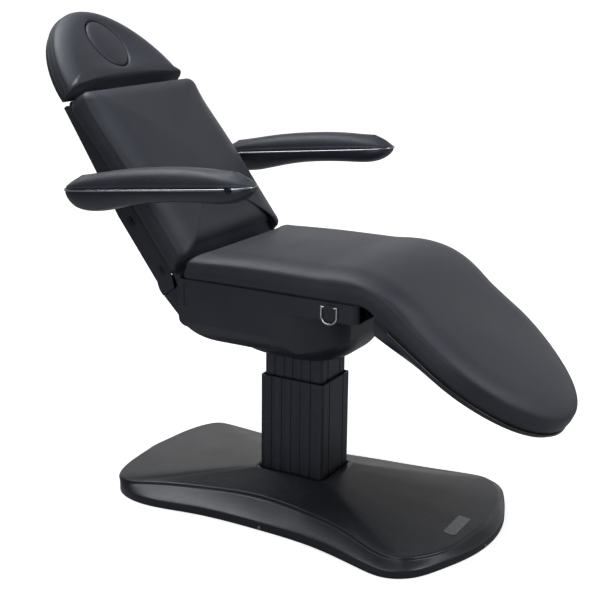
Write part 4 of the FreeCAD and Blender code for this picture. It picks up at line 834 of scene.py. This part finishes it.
def headrest_rings(pads, outline, oval):
    """Rings from the oval's floor up its wall, over the top to the edge, down the side and back underneath.

    The front edge is a lens: its height falls from the middle to the corners as 1 - (y / half)^2. The top
    falls to the edge and into the oval by quarter circles, and its crown is a sine between them.
    """
    normal = outward(outline)
    front = smoothstep(headrest_start - front_reach[0], headrest_start - front_reach[1], outline[:, 0])
    lens = np.clip(1 - (outline[:, 1] / (pads.width / 2)) ** 2, 0.0, 1.0)
    edge = (1 - front) * headrest_edge_share + front * (front_edge_shares[0] + front_edge_shares[1] * lens)
    lean = (1 - front) * side_lean + front * front_lean * lens
    shoulder = (1 - front) * headrest_shoulder + front * front_shoulder
    full = pads.headrest_thickness
    inner = outline - normal * lean[:, None]
    gap = np.linalg.norm(inner - oval, axis=1)
    rings = [ring(oval, share * (full - face_lip)) for share in np.linspace(0.0, 1.0, face_wall_rings)]
    for share in np.linspace(0.0, 1.0, headrest_top_rings + 1)[1:]:
        widen = 0.5 - 0.5 * math.cos(math.pi * share)
        fall = np.clip(1 - (1 - widen) * gap / shoulder, 0.0, 1.0)
        roll = np.clip(1 - widen * gap / face_lip, 0.0, 1.0)
        high = full * edge + full * (1 - edge) * np.sqrt(1 - fall ** 2)
        high -= face_lip * (1 - np.sqrt(1 - roll ** 2))
        crown = pads.crown * math.sin(math.pi * widen) * headrest_crown_share
        rings.append(ring(oval + (inner - oval) * widen, high + crown))
    top_edge = rings[-1][:, 2]
    bulge = pads.swell * (1 - front) - front_hollow * front * lens
    for share in np.linspace(1.0, 0.0, wall_rings + 1)[1:]:
        shift = bulge * math.sin(math.pi * share) - headrest_tuck * smoothstep(tuck_share, 0.0, share)
        rings.append(ring(outline + normal * (shift - lean * share)[:, None], top_edge * share))
    last = rings[-1][:, :2]
    for share in headrest_under_shares:
        rings.append(ring(oval + (last - oval) * share, 0.0))
    return np.array(rings)


plug_gap = 0.0026
plug_points = 160
plug_spine_half = 0.018
plug_floor = 0.0125
plug_proud = 0.001
plug_edge_share = 0.84
plug_shoulder = 0.012
plug_lean = 0.0004
plug_crown = 0.0045
plug_swell = 0.0006


def plug_rings(pads, hole_x):
    """A domed oval cushion with a rolled edge, set in the opening with a thin gap."""
    turn = np.linspace(0.0, 2 * math.pi, plug_points, endpoint=False)
    oval = oval_at(hole_x, turn, plug_gap)
    spine = spine_along(oval, hole_x - plug_spine_half, hole_x + plug_spine_half)
    height = pads.headrest_thickness + plug_proud - plug_floor
    rings = pad_rings(oval, spine, lambda x: np.full(x.shape, height), plug_edge_share, plug_shoulder,
                      plug_lean, plug_crown, plug_swell)
    return rings + np.array([0.0, 0.0, plug_floor])


class CHAIR_OT_headrest_pad(bpy.types.Operator):
    """The headrest cushion with its oval face opening and the plug that fills it"""
    bl_idname = "chair.headrest_pad"
    bl_label = "Headrest cushion and face plug"

    def execute(self, context):
        pads = context.scene.chair_pads
        outline = headrest_outline(pads.width / 2)
        hole_x = headrest_start - headrest_length * face_hole_share
        angle = np.arctan2(outline[:, 1], outline[:, 0] - hole_x)
        rings = headrest_rings(pads, outline, oval_at(hole_x, angle))
        piece = pad("headrest_pad", on_headrest(on_board(rings)), ["headrest_cushion"], closed=True)
        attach(piece, "headrest")
        piece = pad("face_plug_pad", on_headrest(on_board(plug_rings(pads, hole_x))), ["face_plug_cushion"])
        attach(piece, "face_plug")
        return {"FINISHED"}


# Along the armrest: place, width and pad height, as shares of its length, half width and pad height
armrest_shares = np.array((
    (0.000, 0.30, 0.10), (0.022, 0.62, 0.30), (0.060, 0.84, 0.44), (0.120, 0.96, 0.62),
    (0.220, 1.00, 0.82), (0.360, 1.00, 0.95), (0.520, 1.00, 1.00), (0.680, 1.00, 0.98),
    (0.820, 0.98, 0.84), (0.915, 0.88, 0.60), (0.970, 0.66, 0.36), (1.000, 0.34, 0.12)))
armrest_length = 0.582
armrest_half = 0.049
armrest_from_tip = 0.058
armrest_rail_height = 0.041
armrest_rail_half = 0.0025
armrest_end_share = 0.06
armrest_end_gap_share = 0.0001
armrest_nose = 0.004
armrest_end_points = 40
armrest_side_points = 60
armrest_nose_points = 10
armrest_points = 240
armrest_pad_height = 0.051
armrest_pad_inset = 0.0015
armrest_pad_swell = 0.0012
armrest_pad_lean = 0.001
armrest_pad_edge_share = 0.22
armrest_pad_shoulder = 0.046
armrest_pad_power = 2.1
armrest_spine_end = 0.05
bead_radius = 0.0026
bead_out = 0.0022


def smooth_table(places, values, wanted):
    """A smooth curve through a table: cubic Hermite pieces with slopes from neighbouring points."""
    slope = np.gradient(values, places)
    k = np.clip(np.searchsorted(places, wanted) - 1, 0, len(places) - 2)
    h = places[k + 1] - places[k]
    t = (wanted - places[k]) / h
    return ((2 * t ** 3 - 3 * t ** 2 + 1) * values[k] + (t ** 3 - 2 * t ** 2 + t) * h * slope[k]
            + (-2 * t ** 3 + 3 * t ** 2) * values[k + 1] + (t ** 3 - t ** 2) * h * slope[k + 1])


def armrest_plan(extra):
    """The armrest's outline in plan, widened by extra: quarter-ellipse noses and the table's widths."""
    end = armrest_end_share * np.sin(np.linspace(0.0, quarter, armrest_end_points)) ** 2
    sides = np.linspace(armrest_end_share, 1 - armrest_end_share, armrest_side_points)[1:-1]
    place = np.concatenate([end + armrest_end_gap_share, sides, (1 - end)[::-1] - armrest_end_gap_share])
    half = smooth_table(armrest_shares[:, 0], armrest_shares[:, 1], place) * armrest_half + extra
    lead = np.linspace(0.0, quarter, armrest_nose_points)[:-1]
    x = np.concatenate([-armrest_nose * np.cos(lead), place * armrest_length,
                        armrest_length + armrest_nose * np.cos(lead)[::-1]])
    y = np.concatenate([half[0] * np.sin(lead), half, half[-1] * np.sin(lead)[::-1]])
    return even_outline(x, y, armrest_points)


def on_armrest(points, name, height):
    """From the armrest's own length to its place: set out from its pivot at a height, and tipped up."""
    pivot = np.array(joints[name]["pos_m"])
    return turned(points + pivot + (-armrest_from_tip, 0.0, height), pivot, armrest_rise)


class CHAIR_OT_armrest_pads(bpy.types.Operator):
    """Both armrest pads: long domes that thin out towards their ends"""
    bl_idname = "chair.armrest_pads"
    bl_label = "Armrest pads"

    def execute(self, context):
        outline = armrest_plan(-armrest_pad_inset)
        spine = spine_along(outline, armrest_spine_end, armrest_length - armrest_spine_end)

        def thickness(x):
            """The table's height there."""
            place = np.clip(x / armrest_length, 0.0, 1.0)
            return armrest_pad_height * smooth_table(armrest_shares[:, 0], armrest_shares[:, 2], place)

        rings = pad_rings(outline, spine, thickness, armrest_pad_edge_share, armrest_pad_shoulder,
                          armrest_pad_lean, 0.0, armrest_pad_swell, armrest_pad_power)
        for side in ("near", "far"):
            points = on_armrest(rings, "armrest_" + side, armrest_rail_height + armrest_rail_half)
            piece = pad("armrest_cushion_" + side, points, ["armrest_pad_" + side])
            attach(piece, "armrest_" + side)
        return {"FINISHED"}


class CHAIR_OT_armrest_beads(bpy.types.Operator):
    """The bright bead along each armrest's trim rail: a small circle carried along the rail's outline"""
    bl_idname = "chair.armrest_beads"
    bl_label = "Armrest beads"

    def execute(self, context):
        outline = armrest_plan(bead_out)
        tube = bead(outline, outward(outline), bead_radius, 0.0)
        faces = ring_faces(armrest_points, bead_points, closed=True)
        for side in ("near", "far"):
            points = on_armrest(tube, "armrest_" + side, armrest_rail_height)
            piece = mesh_from("armrest_bead_" + side, points, faces, bead_metal())
            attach(piece, "armrest_" + side)
        return {"FINISHED"}


# The gaiter's side view: offsets in x and z from the hip, round the gap between the hull's rear wall, the
# rear cover's foot and the backrest's board
gaiter_corners = ((0.0175, 0.0200), (0.0175, -0.1000), (-0.0370, -0.0460), (0.0095, -0.0085),
                  (-0.0090, 0.0290))
gaiter_half = 0.2555
gaiter_steps = 14
# Size and place of its rings from the middle to an end
gaiter_ring_shares = ((1.0, 0.0), (1.0, 0.5), (1.0, 0.985), (0.97, 1.0), (0.5, 1.0), (0.0, 1.0))


class CHAIR_OT_hinge_gaiter(bpy.types.Operator):
    """The flexible gaiter behind the hip: a closed side view carried across the chair"""
    bl_idname = "chair.hinge_gaiter"
    bl_label = "Hinge gaiter"

    def execute(self, context):
        corners = np.array(gaiter_corners)
        share = np.linspace(0.0, 1.0, gaiter_steps, endpoint=False)[None, :, None]
        after = np.roll(corners, -1, axis=0)
        side = (corners[:, None] * (1 - share) + after[:, None] * share).reshape(-1, 2)
        centre = corners.mean(axis=0)
        near = [(size, -place) for size, place in gaiter_ring_shares[:0:-1]]
        rings = []
        for size, place in (*near, *gaiter_ring_shares):
            x, z = (centre + (side - centre) * size).T
            rings.append(np.column_stack([hip[0] + x, np.full(len(x), place * gaiter_half), hip[2] + z]))
        piece = mesh_from("hinge_gaiter", np.array(rings), ring_faces(len(rings), len(side)),
                          gaiter_rubber())
        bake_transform(piece)
        return {"FINISHED"}


# Half outlines of the base, from the middle of the foot end to the middle of the head end, as shares of the
# reach on that side and of the half width. The edge is where the side turns into the top.
floor_line_shares = (
    (1.0, 0.0), (0.97, 0.36), (0.90, 0.67), (0.825, 0.88), (0.725, 0.97), (0.595, 0.94),
    (0.33, 0.82), (0.0, 0.775), (-0.39, 0.80), (-0.70, 0.845), (-0.84, 0.75), (-0.935, 0.52), (-1.0, 0.0))
edge_line_shares = (
    (0.955, 0.0), (0.94, 0.24), (0.912, 0.514), (0.84, 0.74), (0.756, 0.855), (0.68, 0.858), (0.486, 0.741),
    (0.197, 0.614), (-0.092, 0.554), (-0.42, 0.63), (-0.665, 0.72), (-0.75, 0.755), (-0.83, 0.755),
    (-0.923, 0.545), (-0.957, 0.19), (-0.965, 0.0))
# The edge arches up towards the waist: its height at each of those points
edge_heights = (0.045, 0.045, 0.045, 0.045, 0.045, 0.045, 0.055, 0.065, 0.065, 0.060, 0.052, 0.048, 0.047,
                0.046, 0.046, 0.046)
base_half = 0.352
base_band = 0.022
base_band_lip = 0.001
base_edge_round = 0.007
base_crown = 0.097
base_wall = 0.004
base_inset = 0.0005
base_swoop = 1.15
base_side_hollow = 1.2
opening_half = (0.107, 0.086)
opening_power = 14.0
opening_lip = 0.010
# Heights of two rings down the inside. The upper one stands in from the floor line by a share of the way to
# the edge.
inside_heights = (0.026, 0.020)
inside_share = 0.4
base_points = 600
base_band_rings = 3
base_side_rings = 11
base_round_rings = 8
base_top_rings = 24
base_under_rings = 9
spline_steps = 60


def closed_curve(points, count):
    """A closed cubic spline through points, read at equal steps of its length.

    Its second derivatives b solve one linear system over the chord lengths h: at each point, the h before
    times the b before, twice the sum of both h times b, and the h after times the b after add up to six
    times the change of slope there.
    """
    points = np.array(points, float)
    rows = np.arange(len(points))
    after = np.roll(points, -1, axis=0)
    step = np.linalg.norm((after - points)[:, :2], axis=1)
    before = np.roll(step, 1)
    system = np.zeros((len(points), len(points)))
    system[rows, rows] = 2 * (before + step)
    system[rows, (rows + 1) % len(points)] = step
    system[rows, rows - 1] = before
    slope = (after - points) / step[:, None]
    bend = np.linalg.solve(system, 6 * (slope - np.roll(slope, 1, axis=0)))
    bend_after = np.roll(bend, -1, axis=0)
    there = np.linspace(0.0, 1.0, spline_steps, endpoint=False)[None, :, None]
    here = 1 - there
    bulge = (here ** 3 - here) * bend[:, None] + (there ** 3 - there) * bend_after[:, None]
    curve = here * points[:, None] + there * after[:, None] + step[:, None, None] ** 2 / 6 * bulge
    loop = curve.reshape(-1, points.shape[1])
    return evenly(np.vstack([loop, loop[:1]]), count, endpoint=False)


def base_line(shares, heights):
    """A closed outline of the base with its heights, mirrored across the long axis."""
    low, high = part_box("base_cover")
    half = np.array([((high.x if x > 0 else -low.x) * x, base_half * y, z)
                     for (x, y), z in zip(shares, heights)])
    return closed_curve(np.concatenate([half, half[-2:0:-1] * (1, -1, 1)]), base_points)


def base_rings():
    """The base cover as rings round a wall: up the band and the side, round the edge, over the top to the
    column, down its lip and back along the inside. The top rises from the edge to the column as t^1.15."""
    floor = base_line(floor_line_shares, [0.0] * len(floor_line_shares))
    edge = base_line(edge_line_shares, edge_heights)
    floor_out, edge_out = outward(floor[:, :2]), outward(edge[:, :2])
    foot = floor[:, :2] - floor_out * base_inset
    rim = edge[:, :2] - edge_out * base_inset
    high = edge[:, 2]
    mouth = superellipse(np.arctan2(rim[:, 1], rim[:, 0]), opening_half, opening_power)
    shelf = rim - edge_out * base_edge_round
    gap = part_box("base_cover")[0].z
    rings = [ring(foot, gap), ring(foot, (gap + base_band) / 2), ring(foot, base_band - base_band_lip)]
    for t in np.linspace(0.0, 1.0, base_side_rings):
        rings.append(ring(foot + (rim - foot) * t ** base_side_hollow,
                          base_band + (high - base_edge_round - base_band) * t))
    for turn in np.linspace(0.0, quarter, base_round_rings + 1)[1:]:
        rings.append(ring(rim - edge_out * base_edge_round * (1 - math.cos(turn)),
                          high - base_edge_round * (1 - math.sin(turn))))
    for t in np.linspace(0.0, 1.0, base_top_rings + 1)[1:]:
        rings.append(ring(shelf + (mouth - shelf) * t, high + (base_crown - high) * t ** base_swoop))
    under = mouth * (1 + base_wall / opening_half[0])
    rings += [ring(mouth, base_crown - opening_lip), ring(under, base_crown - opening_lip)]
    for t in np.linspace(1.0, 0.0, base_under_rings):
        rings.append(ring(shelf + (under - shelf) * t,
                          high + (base_crown - high) * t ** base_swoop - base_wall))
    inner = foot - floor_out * base_wall
    upper = inner + (rim - edge_out * base_wall - inner) * inside_share
    rings += [ring(upper, inside_heights[0]), ring(inner, inside_heights[1]), ring(inner, gap)]
    return np.array(rings)


plate_margin = 0.012
plate_power = 16.0
plate_points = 160
# Rings of the plate from its sunk underside over its bevel: size as a share, and height over the cover
plate_rings = ((0.0, -0.0015), (1.0, -0.0015), (1.0, 0.0010), (0.975, 0.0015), (0.5, 0.0015), (0.0, 0.0015))


def plate_on(top):
    """A thin plate with bevelled edges, which follows a quadratic fitted to the cover's top near it."""
    low, high = (np.array(corner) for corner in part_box("blank_plate"))
    centre, half = (low + high)[:2] / 2, (high - low)[:2] / 2
    near = top[(np.abs(top[:, :2] - centre) < half + plate_margin).all(axis=1)]

    def terms(x, y):
        """The six terms of a quadratic in x and y."""
        return np.stack([np.ones_like(x), x, y, x * x, x * y, y * y], axis=-1)

    fit = np.linalg.lstsq(terms(*(near[:, :2] - centre).T), near[:, 2], rcond=None)[0]
    outline = superellipse(np.linspace(0.0, 2 * math.pi, plate_points, endpoint=False), half, plate_power)
    spine = spine_along(outline[:, ::-1], half[0] - half[1], half[1] - half[0])[:, ::-1]
    plans = [(spine + (outline - spine) * share, lift) for share, lift in plate_rings]
    rings = np.array([ring(plan + centre, terms(*plan.T) @ fit + lift) for plan, lift in plans])
    piece = mesh_from("plain_plate", rings, ring_faces(len(rings), plate_points), bare_plate(), smooth=False)
    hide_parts("blank_plate")
    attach(piece, "base")


class CHAIR_OT_base_cover(bpy.types.Operator):
    """The moulded cover of the base, with its arched edge, and the plain plate on it"""
    bl_idname = "chair.base_cover"
    bl_label = "Base cover"

    def execute(self, context):
        rings = base_rings()
        piece = mesh_from("base_cover_moulding", rings, ring_faces(*rings.shape[:2], closed=True),
                          base_plastic())
        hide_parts("base_cover")
        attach(piece, "base")
        first = base_band_rings + base_side_rings + base_round_rings
        plate_on(rings[first:first + base_top_rings].reshape(-1, 3))
        return {"FINISHED"}


# From this distance to that one, the floor's own glow grows from the third value to the fourth
floor_fade = (0.7, 3.6, 0.66, 1.0)
floor_bounce = 0.42
floor_roughness = 0.8
floor_reach = 60.0
# The room that light and reflections find: its level at the horizon and overhead, and what is left of these
# on the camera's side, which begins and ends at two values of a direction's y
horizon_level = 0.74
ceiling_level = 0.12
room_level = 0.24
room_turn = (-0.5, 0.6)
wall_height = 0.75
# Each softbox: its place, what it faces, its width and height, and the setting that holds its power
light_tint = (0.90, 0.94, 1.0)
softboxes = {
    "top_softbox": ((-0.5, -0.4, 3.0), (0.1, 0.0, 0.5), (3.0, 2.4), "top_power"),
    "key_softbox": ((-1.6, 0.0, 3.0), (0.0, 0.0, 0.1), (1.3, 1.1), "key_power"),
    "foot_softbox": ((2.5, 0.1, 2.5), (0.0, 0.0, 0.8), (1.4, 2.0), "side_power"),
    "front_softbox": ((0.5, -3.3, 1.8), (0.0, 0.0, 0.5), (2.2, 1.8), "front_power"),
}
camera_pixels = 1251.0
photo_width = 600.0
sensor = 36.0
camera_reach = 60.0
camera_distance = 3.522
camera_target = Vector((-0.0202, 0.0, 0.5887))
camera_azimuth = math.radians(29.5)
camera_elevation = math.radians(15.5)
camera_roll = math.radians(0.65)


class CHAIR_OT_studio(bpy.types.Operator):
    """A pale studio: floor, softboxes and the camera"""
    bl_idname = "chair.studio"
    bl_label = "Studio"

    def execute(self, context):
        self.camera(context.scene)
        self.floor(context.scene)
        self.world(context.scene)
        for name, (place, target, size, setting) in softboxes.items():
            self.softbox(context.scene, name, place, target, size,
                         getattr(context.scene.chair_studio, setting))
        context.scene.view_settings.view_transform = "Standard"
        return {"FINISHED"}

    def camera(self, scene):
        """The photograph's view: a long lens, a little above, turned a little from the side."""
        a, e = camera_azimuth, camera_elevation
        forward = Vector((-math.sin(a) * math.cos(e), math.cos(a) * math.cos(e), -math.sin(e)))
        right = Vector((math.cos(a), math.sin(a), 0.0))
        up = right.cross(forward)
        turn = Matrix.Rotation(-camera_roll, 3, forward)
        right, up = turn @ right, turn @ up
        data = bpy.data.cameras.new("photo_camera")
        data.sensor_width = sensor
        data.lens = camera_pixels / photo_width * sensor
        data.clip_end = camera_reach
        camera = bpy.data.objects.new("photo_camera", data)
        axes = Matrix((right, up, -forward)).transposed().to_4x4()
        camera.matrix_world = Matrix.Translation(camera_target - forward * camera_distance) @ axes
        scene.collection.objects.link(camera)
        scene.camera = camera

    def floor(self, scene):
        """A large floor: for the camera pale, and whiter further out, and for the light a softer grey."""
        material = bpy.data.materials.new("studio_floor")
        material.use_nodes = True
        tree = material.node_tree
        away = add_node(tree, "VectorMath", {0: add_node(tree, "TexCoord")["Object"]},
                        operation="LENGTH")["Value"]
        seen = tree.nodes["Principled BSDF"]
        glow = map_range(tree, away, *floor_fade, kind="SMOOTHSTEP")
        feed(tree, seen.inputs, {"Base Color": (*scene.chair_studio.floor, 1.0), "Emission Strength": glow,
                                 "Roughness": floor_roughness, "Emission Color": (1.0, 1.0, 1.0, 1.0)})
        unseen = add_node(tree, "BsdfDiffuse", {"Color": (floor_bounce, floor_bounce, floor_bounce, 1.0)})
        mix = add_node(tree, "MixShader", {0: add_node(tree, "LightPath")["Is Camera Ray"], 1: unseen[0],
                                           2: seen.outputs[0]})
        feed(tree, tree.nodes["Material Output"].inputs, {"Surface": mix[0]})
        corners = np.array([(-1, -1, 0), (1, -1, 0), (1, 1, 0), (-1, 1, 0)]) * floor_reach
        mesh_from("studio_floor", corners, np.array([[0, 1, 2, 3]]), material, smooth=False)

    def world(self, scene):
        """White to the camera and through glass. Reflections and light find a pale horizon, a dark ceiling
        and a dim room on the camera's side."""
        world = bpy.data.worlds.new("studio_world")
        world.use_nodes = True
        tree = world.node_tree
        path = add_node(tree, "LightPath")
        seen = calculate(tree, "MAXIMUM", path["Is Camera Ray"], path["Is Transmission Ray"])
        axes = add_node(tree, "SeparateXYZ", {"Vector": add_node(tree, "TexCoord")["Generated"]})
        wall = map_range(tree, axes["Z"], 0.0, wall_height, horizon_level, ceiling_level, "SMOOTHSTEP")
        side = map_range(tree, axes["Y"], *room_turn, room_level, 1.0, "SMOOTHSTEP")
        level = add_node(tree, "Mix", {"Factor": seen, "A": calculate(tree, "MULTIPLY", wall, side),
                                       "B": 1.0})["Result"]
        feed(tree, tree.nodes["Background"].inputs, {"Color": (1.0, 1.0, 1.0, 1.0), "Strength": level})
        scene.world = world

    def softbox(self, scene, name, place, target, size, power):
        """A rectangular area light that faces its target."""
        data = bpy.data.lights.new(name, "AREA")
        data.shape = "RECTANGLE"
        data.size, data.size_y = size
        data.energy = power
        data.color = light_tint
        light = bpy.data.objects.new(name, data)
        light.location = place
        light.rotation_euler = (Vector(target) - Vector(place)).to_track_quat("-Z", "Y").to_euler()
        scene.collection.objects.link(light)


operators = (CHAIR_OT_finish_frame, CHAIR_OT_seat_leg_pad, CHAIR_OT_leg_bead, CHAIR_OT_back_pad,
             CHAIR_OT_headrest_pad, CHAIR_OT_armrest_pads, CHAIR_OT_armrest_beads, CHAIR_OT_hinge_gaiter,
             CHAIR_OT_base_cover, CHAIR_OT_studio)
groups = {"chair_pads": ChairPads, "chair_finish": ChairFinish, "chair_studio": ChairStudio}


class CHAIR_PT_panel(bpy.types.Panel):
    """The chair's sizes, colours and steps"""
    bl_idname = "CHAIR_PT_panel"
    bl_label = "Treatment chair"
    bl_space_type = "VIEW_3D"
    bl_region_type = "UI"
    bl_category = "Chair"

    def draw(self, context):
        for name in groups:
            group = getattr(context.scene, name)
            box = self.layout.box()
            for key in group.__annotations__:
                box.prop(group, key)
        for operator in operators:
            self.layout.operator(operator.bl_idname)


def register():
    """Make the settings, the steps and the panel known to Blender."""
    for name, group in groups.items():
        bpy.utils.register_class(group)
        setattr(bpy.types.Scene, name, PointerProperty(type=group))
    for kind in (*operators, CHAIR_PT_panel):
        bpy.utils.register_class(kind)


def unregister():
    """Take them out again, in the opposite order."""
    for kind in (CHAIR_PT_panel, *reversed(operators)):
        bpy.utils.unregister_class(kind)
    for name, group in groups.items():
        delattr(bpy.types.Scene, name)
        bpy.utils.unregister_class(group)


def main():
    """Run every step in order."""
    register()
    for operator in operators:
        family, name = operator.bl_idname.split(".")
        getattr(getattr(bpy.ops, family), name)()


if __name__ == "__main__":
    main()
